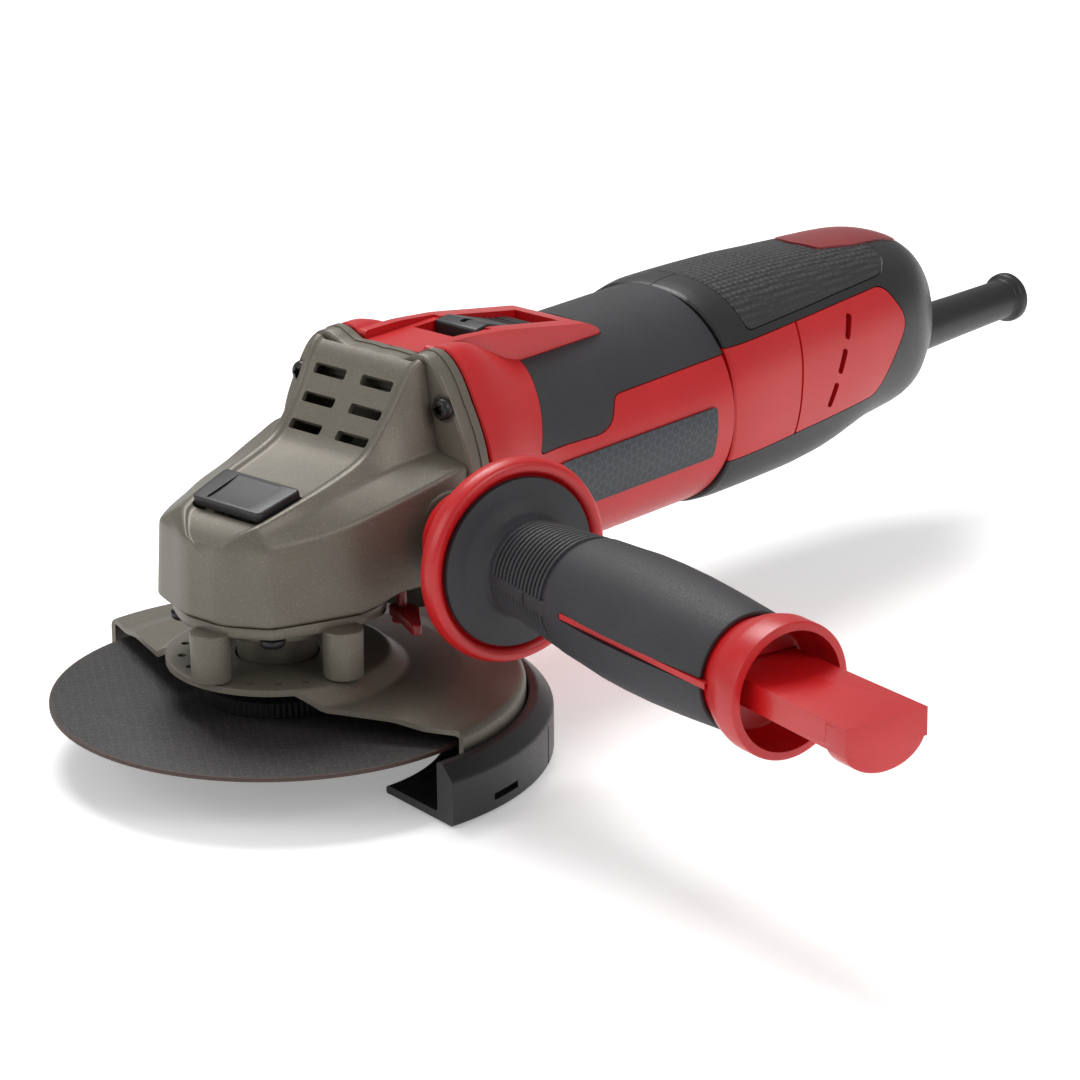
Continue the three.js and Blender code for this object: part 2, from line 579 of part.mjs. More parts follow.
function statorCore() {
  const core = solid(turnedY(ringProfile(STATOR.inner, STATOR.outer, STACK.from, STACK.to), 40));
  const windows = [COIL.low - 2, 180 - COIL.high - 2, 180 + COIL.low - 2, 360 - COIL.high - 2].map((start) => (
    coilBar(start, COIL.high - COIL.low + 4, STACK.from - 1, STACK.to + 1, GAP)));
  return onMotor(shape(cut(core, ...windows)));
}

// A bar of winding that lies along Y, filling a slice of the stator's ring.
function coilBar(start, sweep, from, to, grow) {
  const outline = [];
  const steps = 3;
  for (let i = 0; i <= steps; i += 1) outline.push(polar(COIL.outer + grow, start + (sweep * i) / steps));
  for (let i = steps; i >= 0; i -= 1) outline.push(polar(COIL.inner - grow, start + (sweep * i) / steps));
  return solid(prismY(outline, from, to));
}

function fieldCoil(lower) {
  const base = lower ? 180 : 0;
  const sweep = COIL.high - COIL.low;
  const bars = [base + COIL.low, base + 180 - COIL.high].map((start) => (
    coilBar(start, sweep, STACK.from - 5, STACK.to + 5, 0)));
  const ends = [[STACK.from - 6, STACK.from - 1], [STACK.to + 1, STACK.to + 6]].map(([from, to]) => {
    const outline = [];
    for (let i = 0; i <= 10; i += 1) outline.push(polar(COIL.outer + 1, base + COIL.low + i * (180 - 2 * COIL.low) / 10));
    for (let i = 10; i >= 0; i -= 1) outline.push(polar(COIL.inner, base + COIL.low + i * (180 - 2 * COIL.low) / 10));
    return solid(prismY(outline, from, to));
  });
  return onMotor(shape(join(...bars, ...ends)));
}

function coolingFan() {
  const hub = solid(turnedY([[4.3, 51], [9, 51], [26.5, 59], [26.5, 60.5], [4.3, 60.5]], 32));
  const blades = [];
  for (let blade = 0; blade < 14; blade += 1) {
    const fin = box(10, 26, 51.5, 59.5, -0.7, 0.7);
    blades.push(solid(fin.rotateY(radians(blade * (360 / 14)))));
  }
  return onMotor(shape(join(hub, ...blades)));
}

const FRONT_BEARING = { inner: 4.6, outer: 11, from: 40, to: 47 };
const REAR_BEARING = { inner: 4.6, outer: 9, from: 148.5, to: 155.2 };

function bearingPlate() {
  const plate = solid(turnedY([[5, 37.4], [24.6, 37.4], [24.6, 47.4], [11.3, 47.4], [11.3, 39.7], [5, 39.7]], 32));
  const windows = [60, 120, 180, 240, 300, 0].map((angle) => {
    const [x, z] = polar(18, angle);
    return solid(turnedY(rodProfile(3.6, 30, 60), 12).translate(x, 0, z));
  });
  return onMotor(shape(cut(plate, ...windows)));
}

const BRUSH_Y = 137;
function brushHolder(side) {
  const tube = solid(box(12.6, 25.5, BRUSH_Y - 4.8, BRUSH_Y + 4.8, -4, 4));
  const hole = solid(box(11, 24.2, BRUSH_Y - 3.3, BRUSH_Y + 3.3, -2.5, 2.5));
  return onMotor(shape(cut(tube, hole)).rotateY(side > 0 ? 0 : Math.PI));
}
const carbonBrush = (side) => onMotor(box(11.3, 22, BRUSH_Y - 3, BRUSH_Y + 3, -2.2, 2.2)
  .rotateY(side > 0 ? 0 : Math.PI));

// ---------------------------------------------------------------- rear grip
// Stations of the rear grip: [y, half-width, top, bottom].
const REAR_STATIONS = [
  [PARTING_Y + GAP, 32.6, 89.2, 23.8], [163, 33, 90.2, 23.2], [196, 31.2, 89.6, 23], [214, 30, 88.4, 24.2],
  [226, 29.2, 87.6, 26.6], [236, 28.4, 86.8, 28.8], [250, 27.4, 85.6, 30], [257, 25.4, 84.4, 30.8],
  [265, 20.8, 81.4, 32.6], [273, 15.4, 75.6, 35], [REAR_Y, 9.8, 65, 37.2],
];
const SLEEVE_Z = 45.8;
const SHELL_SCREWS = [[252, 38], [186, 31.5]];

function rearRing([y, half, top, bottom], inset) {
  const middle = (top + bottom) / 2;
  const tall = (top - bottom) / 2 - inset;
  const wide = half - inset;
  const count = 24;
  const ring = [];
  for (let i = 0; i < count; i += 1) {
    const angle = (i / count) * Math.PI * 2;
    const power = 0.86;
    const x = wide * Math.sign(Math.cos(angle)) * Math.abs(Math.cos(angle)) ** power;
    const z = tall * Math.sign(Math.sin(angle)) * Math.abs(Math.sin(angle)) ** power;
    ring.push([x, y, z + middle]);
  }
  return ring;
}

const rearBody = (inset) => solid(loft(REAR_STATIONS.map((station) => rearRing(station, inset))));
const sideFacing = (side) => (side > 0 ? [4, 60] : [-60, -4]);
const panelRegion = (side, grow) => solid(prismX([[150, 41.5 - grow], [230 + grow, 43.5 - grow],
  [244.5 + grow, 64], [236 + grow, 76 + grow], [150, 75.2 + grow]], ...sideFacing(side)));
const gripRegion = (grow) => solid(prismX([[168 - grow, 110], [168 - grow, 78 - grow], [238 + grow, 78.6 - grow],
  [245 + grow, 82], [245 + grow, 110]], -60, 60));
const trimRegion = (grow) => solid(prismZ([[-8.5 - grow, 224], [0, 221 - grow], [8.5 + grow, 224],
  [10.5 + grow, 240], [9.5 + grow, 262 + grow], [-9.5 - grow, 262 + grow], [-10.5 - grow, 240]], 76, 100));

function rearVents() {
  const cutters = [];
  for (let slot = 0; slot < 3; slot += 1) {
    const bar = box(-60, 60, -1.3, 1.3, -3.8, 3.8);
    cutters.push(solid(bar.rotateX(radians(-26)).translate(0, 205 + slot * 4.6, 50 + slot * 9.4)));
  }
  return cutters;
}

function rearSkinPockets() {
  const layer = cut(rearBody(-1), rearBody(SKIN + GAP));
  const regions = [gripRegion(GAP), trimRegion(GAP), panelRegion(1, GAP), panelRegion(-1, GAP)];
  return regions.map((region) => layer.intersect(region));
}

function rearShell(side) {
  const body = cut(rearBody(0), ...rearSkinPockets(), rearBody(SKIN + WALL));
  const gland = solid(turnedY([[0, 257], [10, 257], [10, 269.4], [7.7, 269.4], [7.7, 300], [0, 300]], 24)
    .translate(0, 0, SLEEVE_Z));
  const rear = solid(turnedY(rodProfile(12.6, 262, 275), 24).translate(0, 0, SLEEVE_Z)).intersect(rearBody(1));
  const front = solid(box(-60, 60, 150, PARTING_Y + GAP + 4, 0, 110)).intersect(rearBody(SKIN + WALL - 0.5));
  const frontHole = solid(turnedY(rodProfile(25.8, 140, 170), 32).translate(0, 0, MOTOR_Z));
  const rodWay = solid(box(-5, 5, 150, 170, 80, 85.6));
  const half = solid(side > 0 ? box(GAP / 2, 60, 100, 340, -20, 140) : box(-60, -GAP / 2, 100, 340, -20, 140));
  const screwWays = SHELL_SCREWS.map(([y, z]) => solid(turnedX(rodProfile(2, -60, 16.5), 12).translate(0, y, z)));
  const posts = SHELL_SCREWS.map(([y, z]) => (
    solid(turnedX(rodProfile(4.2, -60, 60), 16).translate(0, y, z)).intersect(rearBody(SKIN + 0.6))));
  const heads = SHELL_SCREWS.map(([y, z]) => solid(turnedX(rodProfile(3.8, -60, -15.7), 14).translate(0, y, z)));
  return shape(cut(join(body, rear, front, ...posts), gland, frontHole, rodWay, ...rearVents(), ...screwWays,
    ...heads).intersect(half));
}

const shellScrew = (y, z) => turnedX([[0, -18.2], [3.4, -18.2], [3.4, -15.9], [1.7, -15.9], [1.7, 15], [0, 15]], 14)
  .translate(0, y, z);

const sidePanel = (side) => shape(cut(rearBody(0), rearBody(SKIN), ...rearVents())
  .intersect(panelRegion(side, 0)));
const gripRubber = () => shape(cut(rearBody(0), rearBody(SKIN), trimRegion(GAP)).intersect(gripRegion(0)));
const topTrim = () => shape(cut(rearBody(-0.5), rearBody(SKIN)).intersect(trimRegion(0)));

const SLEEVE = { root: 258.4, collar: 269, end: 335, bore: 3.7 };
const strainRelief = () => turnedY([[SLEEVE.bore, SLEEVE.root], [9.6, SLEEVE.root], [9.6, SLEEVE.collar],
  [7.3, SLEEVE.collar + 0.2], [6.2, SLEEVE.end - 4.4], [7.9, SLEEVE.end - 3.2], [7.9, SLEEVE.end - 0.6],
  [7.3, SLEEVE.end], [SLEEVE.bore, SLEEVE.end]], 24).translate(0, 0, SLEEVE_Z);

function cordClamp() {
  const bar = solid(box(-10, 10, 240, 247, 38, 42.5));
  const groove = solid(turnedY(rodProfile(3.8, 230, 260), 16).translate(0, 0, SLEEVE_Z));
  return shape(cut(bar, groove));
}
const switchModule = () => box(-9, 9, 184, 216, 60, 82);

// ---------------------------------------------------------------- side handle
const KEY = { tip: 62, step: 85, flare: 130, bar: 146, end: 154, half: 12.6, top: 5, bottom: -2.4, capBottom: -9 };
const SLIT = { from: 42, to: 101, z: 1 };

const keySlot = (grow) => join(
  solid(box(22, 60, -9 - grow, 9 + grow, KEY.bottom - grow, KEY.top + grow)),
  solid(box(46.5, 120, -11.6 - grow, 11.6 + grow, KEY.bottom - grow, KEY.top + grow)),
);

function handleCore() {
  const body = solid(turnedX([[0, BOSS.to + GAP], [13, BOSS.to + GAP], [14, -8], [26, -6.5], [28, -4.6],
    [28.3, -1.8], [27.4, 0.6], [25.6, 1], [24.2, 0], [23.6, -1.6], [14, 0], [9.6, 1.5], [9.6, 14], [12, 24],
    [14.4, 36], [14.4, 101.3], [16.8, 106], [17.9, 110], [17.9, 117], [0, 117]], 28));
  const ribs = [-1, 1].map((side) => (
    solid(box(SLIT.from + 0.4, SLIT.to + 3, Math.min(side * 12, side * 16.6), Math.max(side * 12, side * 16.6),
      SLIT.z - 0.8, SLIT.z + 0.8))));
  const studHole = solid(turnedX(rodProfile(STUD_R + GAP, -40, 18), 16));
  const mouth = solid(turnedX([[0, 104], [13.6, 104], [15.6, 109], [15.6, 130], [0, 130]], 24));
  return handleFrame(shape(cut(join(body, ...ribs), studHole, mouth, keySlot(0.4))));
}

function handleGrip() {
  const profile = [[9.9, 1.8], [14, 0.4], [23.2, -1.2], [23.2, 0.8], [18, 1.6], [14.4, 3.2], [13.2, 6]];
  const grooves = 7;
  for (let groove = 0; groove < grooves; groove += 1) {
    const x = 7.4 + groove * 3.7;
    const radius = 13.3 + groove * 0.36;
    profile.push([radius, x], [radius - 0.8, x + 0.9], [radius + 0.2, x + 1.8]);
  }
  profile.push([16.8, 44], [17.7, 56], [17.7, 72], [16.8, 88], [15.9, 101], [14.7, 101], [14.7, 36], [12.3, 24],
    [9.9, 14.2]);
  const slits = [-1, 1].map((side) => (
    solid(box(SLIT.from, SLIT.to + 3, Math.min(side * 12, side * 20), Math.max(side * 12, side * 20),
      SLIT.z - 1.1, SLIT.z + 1.1))));
  return handleFrame(shape(cut(solid(turnedX(profile, 28)), ...slits)));
}

const handleStud = () => handleFrame(turnedX(rodProfile(STUD_R - 0.1, -39, 16), 16));

function spannerKey() {
  const outline = [[KEY.tip, -9], [KEY.step, -9], [KEY.step, -11.4], [KEY.flare, -11.6],
    [KEY.end, -KEY.half], [KEY.end, KEY.half], [KEY.flare, 11.6], [KEY.step, 11.4], [KEY.step, 9], [KEY.tip, 9]];
  const bar = solid(prismZ(outline, KEY.bottom, KEY.top));
  const capOutline = [];
  for (let i = 0; i <= 10; i += 1) {
    const [y, z] = polar(1, 180 + i * 18);
    capOutline.push([y * KEY.half, z * -KEY.capBottom]);
  }
  capOutline.push([KEY.half, KEY.top - 0.5], [-KEY.half, KEY.top - 0.5]);
  const cap = solid(prismX(capOutline, KEY.bar, KEY.end));
  const pins = [-6, 6].map((y) => solid(discZ(2.1, KEY.bottom, KEY.top, 12).translate(KEY.tip + 6, y, 0)));
  return handleFrame(shape(join(bar, cap, ...pins)));
}

// ---------------------------------------------------------------- assembly
function headScrew([x, z]) {
  return screw(3.2, 2.6, 1.9, 14).rotateX(Math.PI / 2).translate(x, FLANGE_Y + 0.2, z);
}
const coverScrew = ([x, y]) => screw(3.6, 2.4, 1.9, 3.4).rotateX(Math.PI).translate(x, y, COVER_BOTTOM - 0.2);

const parts = [
  piece('gear_housing', gearHousing(), 'diecast'),
  piece('bearing_cover', bearingCover(), 'diecast'),
  piece('spindle', spindle(), 'steel'),
  piece('spindle_bearing', turnedZ(bearing(BEARING), 20), 'steel'),
  piece('spindle_bush', tubeZ(4.5, 6.2, 56.5, 61.5, 24), 'brass'),
  piece('crown_gear', crownGear(), 'steel'),
  piece('pinion', pinion(), 'steel'),
  piece('lock_button', lockButton(), 'black'),
  piece('lock_pin', lockPin(), 'steel'),
  piece('lock_spring', lockSpring(), 'steel'),
  piece('inner_flange', innerFlange(), 'darkSteel'),
  piece('flange_nut', flangeNut(), 'darkSteel'),
  piece('cutting_disc', cuttingDisc(), 'disc'),
  piece('wheel_guard', wheelGuard(), 'diecast'),
  piece('guard_clip_cover', clipCover(), 'black'),
  piece('guard_retaining_ring', retainingRing(), 'steel'),
  piece('guard_lever', guardLever(), 'redDark'),
  piece('motor_housing', motorHousing(), 'red'),
  piece('housing_overmould', housingOvermould(), 'rubber'),
  piece('label_right', labelPlate(1), 'label'),
  piece('label_left', labelPlate(-1), 'label'),
  piece('slide_switch', slideSwitch(), 'black'),
  piece('switch_module', switchModule(), 'black'),
  piece('armature_shaft', armatureShaft(), 'steel'),
  piece('rotor_core', rotorCore(), 'darkSteel'),
  piece('rotor_winding', rotorWinding(), 'copper'),
  piece('commutator', commutator(), 'copper'),
  piece('stator_core', statorCore(), 'darkSteel'),
  piece('field_coil_upper', fieldCoil(false), 'copper'),
  piece('field_coil_lower', fieldCoil(true), 'copper'),
  piece('cooling_fan', coolingFan(), 'black'),
  piece('bearing_plate', bearingPlate(), 'diecast'),
  piece('front_bearing', onMotor(turnedY(bearing(FRONT_BEARING), 16)), 'steel'),
  piece('rear_bearing', onMotor(turnedY(bearing(REAR_BEARING), 16)), 'steel'),
  piece('brush_holder_right', brushHolder(1), 'brass'),
  piece('brush_holder_left', brushHolder(-1), 'brass'),
  piece('carbon_brush_right', carbonBrush(1), 'carbon'),
  piece('carbon_brush_left', carbonBrush(-1), 'carbon'),
  piece('rear_shell_right', rearShell(1), 'black'),
  piece('rear_shell_left', rearShell(-1), 'black'),
  piece('side_panel_right', sidePanel(1), 'red'),
  piece('side_panel_left', sidePanel(-1), 'red'),
  piece('grip_rubber', gripRubber(), 'rubber'),
  piece('top_trim', topTrim(), 'redDark'),
  piece('strain_relief', strainRelief(), 'black'),
  piece('cord_clamp', cordClamp(), 'nylon'),
  piece('handle_core', handleCore(), 'red'),
  piece('handle_grip', handleGrip(), 'rubber'),
  piece('handle_stud', handleStud(), 'steel'),
  piece('spanner_key', spannerKey(), 'red'),
];
HEAD_SCREWS.forEach((place, i) => parts.push(piece(`head_screw_${i + 1}`, headScrew(place), 'darkSteel')));
COVER_SCREWS.forEach((place, i) => (
  parts.push(piece(`cover_screw_${i + 1}`, coverScrew(place), 'darkSteel'))));

SHELL_SCREWS.forEach(([y, z], i) => parts.push(piece(`shell_screw_${i + 1}`, shellScrew(y, z), 'darkSteel')));

const grinder = new THREE.Group();
grinder.add(...parts);

export default grinder;
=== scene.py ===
"""Looks for the angle grinder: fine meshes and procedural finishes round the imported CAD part."""
import json
import math

import bmesh
import bpy
from mathutils import Matrix, Vector


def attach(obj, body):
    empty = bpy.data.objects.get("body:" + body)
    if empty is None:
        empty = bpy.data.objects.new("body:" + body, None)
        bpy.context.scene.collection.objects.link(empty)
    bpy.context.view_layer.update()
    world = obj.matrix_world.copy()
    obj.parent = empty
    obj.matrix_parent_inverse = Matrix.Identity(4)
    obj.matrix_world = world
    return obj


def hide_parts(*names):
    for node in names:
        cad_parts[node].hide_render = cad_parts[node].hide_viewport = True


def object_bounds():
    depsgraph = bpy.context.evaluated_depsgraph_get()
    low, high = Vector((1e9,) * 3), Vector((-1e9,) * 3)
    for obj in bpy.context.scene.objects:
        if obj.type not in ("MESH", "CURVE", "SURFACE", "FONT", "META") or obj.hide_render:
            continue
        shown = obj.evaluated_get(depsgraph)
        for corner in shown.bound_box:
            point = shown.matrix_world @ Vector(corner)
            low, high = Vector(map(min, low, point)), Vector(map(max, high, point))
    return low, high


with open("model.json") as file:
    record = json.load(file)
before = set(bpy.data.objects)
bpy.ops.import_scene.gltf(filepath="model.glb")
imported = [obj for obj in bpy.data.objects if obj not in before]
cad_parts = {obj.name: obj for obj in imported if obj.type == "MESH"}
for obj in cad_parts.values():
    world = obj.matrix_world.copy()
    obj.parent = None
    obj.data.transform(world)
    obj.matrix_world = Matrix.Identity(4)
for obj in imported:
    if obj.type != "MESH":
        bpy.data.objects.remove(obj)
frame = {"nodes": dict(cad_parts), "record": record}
cad_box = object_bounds()

MM = 0.001
TAU = math.tau
GAP = 0.3
DISC_R = 62.5
DISC_TOP = 9.0
MOTOR_Z = 56.5
BARREL_R = 33.0
HEAD_BOTTOM = 37.5
COVER_BOTTOM = 34.0
COLLAR_TOP = 21.1
COLLAR_R = 30.5
GUARD_R = 67.5
FLANGE_Y = 39.5
HOUSING_Y = 48.0
PARTING_Y = 156.0
REAR_Y = 281.0
SKIN = 1.7
WALL = 2.6
HANDLE_CANT = math.radians(-13.4)
HANDLE_FROM = Vector((66, 25, 54.9))
FINE = 128


# ------------------------------------------------------------------ geometry helpers (millimetres)
def lerp(a, b, t):
    return a + (b - a) * t


def smooth(x, low, high):
    t = min(max((x - low) / (high - low), 0), 1)
    return t * t * (3 - 2 * t)


def polar(radius, degrees):
    return radius * math.cos(math.radians(degrees)), radius * math.sin(math.radians(degrees))


def spread(low, high, count):
    return [lerp(low, high, i / (count - 1)) for i in range(count)]


def soften(points, radius, steps=4, closed=True):
    """Rounds every corner of an outline; radius is one number or one per point."""
    count = len(points)
    out = []
    for i, (x, y) in enumerate(points):
        if not closed and i in (0, count - 1):
            out.append((x, y))
            continue
        here = Vector((x, y))
        before = Vector(points[i - 1]) - here
        after = Vector(points[(i + 1) % count]) - here
        size = radius[i] if isinstance(radius, (list, tuple)) else radius
        reach = min(size, 0.45 * before.length, 0.45 * after.length)
        start = here + before.normalized() * reach
        end = here + after.normalized() * reach
        for step in range(steps + 1):
            t = step / steps
            out.append(tuple(start * (1 - t) ** 2 + here * 2 * t * (1 - t) + end * t * t))
    return out


def curve(table, key):
    """Reads a smooth curve through the rows of a table whose first column is the key."""
    keys = [row[0] for row in table]
    key = min(max(key, keys[0]), keys[-1])
    right = next(i for i in range(1, len(keys)) if keys[i] >= key)
    left = right - 1
    span = keys[right] - keys[left]
    t = (key - keys[left]) / span
    values = []
    for column in range(1, len(table[0])):
        def rise(i):
            return (table[i + 1][column] - table[i][column]) / (keys[i + 1] - keys[i])

        def slope(i):
            if i == 0 or i == len(table) - 1:
                return rise(0) if i == 0 else rise(len(table) - 2)
            first, second = rise(i - 1), rise(i)
            if first * second <= 0:
                return 0.0
            return 2 * first * second / (first + second)

        a, b = table[left][column], table[right][column]
        values.append(a * (1 + 2 * t) * (1 - t) ** 2 + slope(left) * span * t * (1 - t) ** 2
                      + b * t * t * (3 - 2 * t) + slope(right) * span * t * t * (t - 1))
    return values


def make(name, verts, faces):
    mesh = bpy.data.meshes.new(name)
    mesh.from_pydata([Vector(v) * MM for v in verts], [], faces)
    work = bmesh.new()
    work.from_mesh(mesh)
    bmesh.ops.remove_doubles(work, verts=work.verts, dist=1e-7)
    bmesh.ops.recalc_face_normals(work, faces=work.faces)
    work.to_mesh(mesh)
    work.free()
    piece = bpy.data.objects.new(name, mesh)
    bpy.context.scene.collection.objects.link(piece)
    return piece


AXES = {
    "X": lambda a, b, h: (h, a, b),
    "Y": lambda a, b, h: (a, h, b),
    "Z": lambda a, b, h: (a, b, h),
}


def lathe(name, profile, axis="Z", steps=FINE, wave=None, centre=(0, 0)):
    """Turns a profile of (radius, height); a profile that leaves the axis closes on itself."""
    verts, faces, rows = [], [], []
    for radius, height in profile:
        row = []
        for i in range(steps if radius > 0 else 1):
            angle = TAU * i / steps
            r = radius + (wave(angle, radius, height) if wave and radius > 0 else 0)
            row.append(len(verts))
            verts.append(AXES[axis](r * math.cos(angle) + centre[0], r * math.sin(angle) + centre[1],
                                    height))
        rows.append(row)
    pairs = list(zip(rows, rows[1:]))
    if profile[0][0] > 0:
        pairs.append((rows[-1], rows[0]))
    for low, high in pairs:
        for i in range(steps):
            j = (i + 1) % steps
            if len(low) == 1 and len(high) == 1:
                continue
            if len(low) == 1:
                faces.append((low[0], high[j], high[i]))
            elif len(high) == 1:
                faces.append((low[i], low[j], high[0]))
            else:
                faces.append((low[i], low[j], high[j], high[i]))
    return make(name, verts, faces)


def rod(name, radius, low, high, axis="Z", centre=(0, 0), steps=48, edge=0.0):
    profile = [(0, low), (radius, low), (radius, high), (0, high)]
    if edge:
        profile = soften(profile, edge, closed=False)
    return lathe(name, profile, axis, steps, centre=centre)


def prism(name, outline, low, high, axis="Z"):
    count = len(outline)
    verts = [AXES[axis](a, b, h) for h in (low, high) for a, b in outline]
    faces = [tuple(range(count)), tuple(range(count, 2 * count))]
    faces += [(i, (i + 1) % count, count + (i + 1) % count, count + i) for i in range(count)]
    return make(name, verts, faces)


def block(name, x0, x1, y0, y1, z0, z1):
    return prism(name, [(x0, y0), (x1, y0), (x1, y1), (x0, y1)], z0, z1)


def loft(name, rings):
    count = len(rings[0])
    verts = [point for ring in rings for point in ring]
    faces = []
    for ring in range(len(rings) - 1):
        for i in range(count):
            j = (i + 1) % count
            low, high = ring * count, (ring + 1) * count
            faces.append((low + i, low + j, high + j, high + i))
    faces.append(tuple(range(count)))
    faces.append(tuple(range(len(verts) - count, len(verts))))
    return make(name, verts, faces)


def bake(piece):
    graph = bpy.context.evaluated_depsgraph_get()
    mesh = bpy.data.meshes.new_from_object(piece.evaluated_get(graph))
    piece.modifiers.clear()
    piece.data = mesh
    return piece


def combine(piece, operation, others):
    for other in others:
        step = piece.modifiers.new("boolean", "BOOLEAN")
        step.operation = operation
        step.solver = "MANIFOLD"
        step.object = other
        bake(piece)
        bpy.data.objects.remove(other)
    return piece


def cut(piece, *others):
    return combine(piece, "DIFFERENCE", others)


def join(piece, *others):
    return combine(piece, "UNION", others)


def common(piece, *others):
    return combine(piece, "INTERSECT", others)


def bevel(piece, width, segments=2, angle=40):
    step = piece.modifiers.new("bevel", "BEVEL")
    step.width = width * MM
    step.segments = segments
    step.limit_method = "ANGLE"
    step.angle_limit = math.radians(angle)
    step.use_clamp_overlap = True
    return bake(piece)


def twin(piece, name):
    other = bpy.data.objects.new(name, piece.data.copy())
    bpy.context.scene.collection.objects.link(other)
    return other


def moved(piece, turn=None, shift=(0, 0, 0)):
    """Turns a piece by (axis, degrees) about the origin, then shifts it, in its mesh."""
    matrix = Matrix.Translation(Vector(shift) * MM)
    if turn:
        matrix = matrix @ Matrix.Rotation(math.radians(turn[1]), 4, turn[0])
    piece.data.transform(matrix)
    return piece


def on_handle(piece, side=1):
    cant = math.degrees(HANDLE_CANT)
    turn = cant if side > 0 else 180 - cant
    return moved(piece, ("Z", turn), (side * HANDLE_FROM.x, HANDLE_FROM.y, HANDLE_FROM.z))


# ------------------------------------------------------------------ finishes
def finish(name, colour, rough, metal=0.0, grain=900.0, bump=0.05, vary=0.12, speckle=0.0, coat=0.0):
    """A finish with drifting colour, fine grain in its gloss and surface, and sparkle where asked."""
    material = bpy.data.materials.new(name)
    material.use_nodes = True
    nodes, links = material.node_tree.nodes, material.node_tree.links
    shader = nodes["Principled BSDF"]
    shader.inputs["Metallic"].default_value = metal
    shader.inputs["Coat Weight"].default_value = coat
    place = nodes.new("ShaderNodeTexCoord").outputs["Object"]

    def noise(scale, detail):
        node = nodes.new("ShaderNodeTexNoise")
        node.inputs["Scale"].default_value = scale
        node.inputs["Detail"].default_value = detail
        links.new(place, node.inputs["Vector"])
        return node.outputs["Fac"]

    def span(source, low, high, start=0.3, end=0.7):
        node = nodes.new("ShaderNodeMapRange")
        node.inputs["From Min"].default_value = start
        node.inputs["From Max"].default_value = end
        node.inputs["To Min"].default_value = low
        node.inputs["To Max"].default_value = high
        links.new(source, node.inputs["Value"])
        return node.outputs["Result"]

    def mix(factor, a, b):
        node = nodes.new("ShaderNodeMix")
        node.data_type = "RGBA"
        links.new(factor, node.inputs["Factor"])
        for socket, value in ((node.inputs["A"], a), (node.inputs["B"], b)):
            if isinstance(value, tuple):
                socket.default_value = (*value, 1)
            else:
                links.new(value, socket)
        return node.outputs["Result"]

    dark = tuple(c * (1 - vary) for c in colour)
    light = tuple(min(c * (1 + vary), 1) for c in colour)
    base = mix(span(noise(60, 3), 0, 1), dark, light)
    fine = noise(grain, 2)
    base = mix(span(fine, 0, 0.35), base, light)
    if speckle:
        cells = nodes.new("ShaderNodeTexVoronoi")
        cells.inputs["Scale"].default_value = grain * 1.6
        links.new(place, cells.inputs["Vector"])
        base = mix(span(cells.outputs["Color"], 0, speckle, 0.80, 0.9), base, (0.75, 0.72, 0.66))
        base = mix(span(cells.outputs["Color"], speckle * 0.7, 0, 0.1, 0.25), base, (0.03, 0.028, 0.025))
    links.new(base, shader.inputs["Base Color"])
    links.new(span(fine, rough * 0.88, min(rough * 1.12, 1)), shader.inputs["Roughness"])
    relief = nodes.new("ShaderNodeBump")
    relief.inputs["Strength"].default_value = bump
    relief.inputs["Distance"].default_value = 0.0002
    links.new(fine, relief.inputs["Height"])
    links.new(relief.outputs["Normal"], shader.inputs["Normal"])
    return material


def woven_disc():
    """Bonded abrasive over a diagonal glass mesh, with bright grains."""
    material = finish("disc", (0.013, 0.011, 0.011), 0.62, grain=2400, bump=0.3, vary=0.3, speckle=0.12)
    nodes, links = material.node_tree.nodes, material.node_tree.links
    shader = nodes["Principled BSDF"]
    place = nodes.new("ShaderNodeTexCoord").outputs["Object"]
    turn = nodes.new("ShaderNodeMapping")
    turn.inputs["Rotation"].default_value = (0, 0, math.radians(38))
    links.new(place, turn.inputs["Vector"])
    threads = []
    for direction in ("X", "Y"):
        wave = nodes.new("ShaderNodeTexWave")
        wave.bands_direction = direction
        wave.inputs["Scale"].default_value = 120
        wave.inputs["Distortion"].default_value = 0.4
        links.new(turn.outputs["Vector"], wave.inputs["Vector"])
        threads.append(wave.outputs["Fac"])
    both = nodes.new("ShaderNodeMath")
    both.operation = "MAXIMUM"
    links.new(threads[0], both.inputs[0])
    links.new(threads[1], both.inputs[1])
    ramp = nodes.new("ShaderNodeMapRange")
    ramp.inputs["From Min"].default_value = 0.75
    ramp.inputs["From Max"].default_value = 0.98
    ramp.inputs["To Max"].default_value = 0.4
    links.new(both.outputs["Value"], ramp.inputs["Value"])
    colour = nodes.new("ShaderNodeMix")
    colour.data_type = "RGBA"
    colour.inputs["B"].default_value = (0.036, 0.033, 0.034, 1)
    links.new(shader.inputs["Base Color"].links[0].from_socket, colour.inputs["A"])
    links.new(ramp.outputs["Result"], colour.inputs["Factor"])
    flat = nodes.new("ShaderNodeVectorMath")
    flat.operation = "MULTIPLY"
    flat.inputs[1].default_value = (1, 1, 0)
    links.new(place, flat.inputs[0])
    reach = nodes.new("ShaderNodeVectorMath")
    reach.operation = "LENGTH"
    links.new(flat.outputs["Vector"], reach.inputs[0])
    rim = nodes.new("ShaderNodeMapRange")
    rim.inputs["From Min"].default_value = 0.0612
    rim.inputs["From Max"].default_value = 0.0624
    rim.inputs["To Max"].default_value = 0.8
    links.new(reach.outputs["Value"], rim.inputs["Value"])
    edged = nodes.new("ShaderNodeMix")
    edged.data_type = "RGBA"
    edged.inputs["B"].default_value = (0.055, 0.026, 0.018, 1)
    links.new(rim.outputs["Result"], edged.inputs["Factor"])
    links.new(colour.outputs["Result"], edged.inputs["A"])
    links.new(edged.outputs["Result"], shader.inputs["Base Color"])
    return material


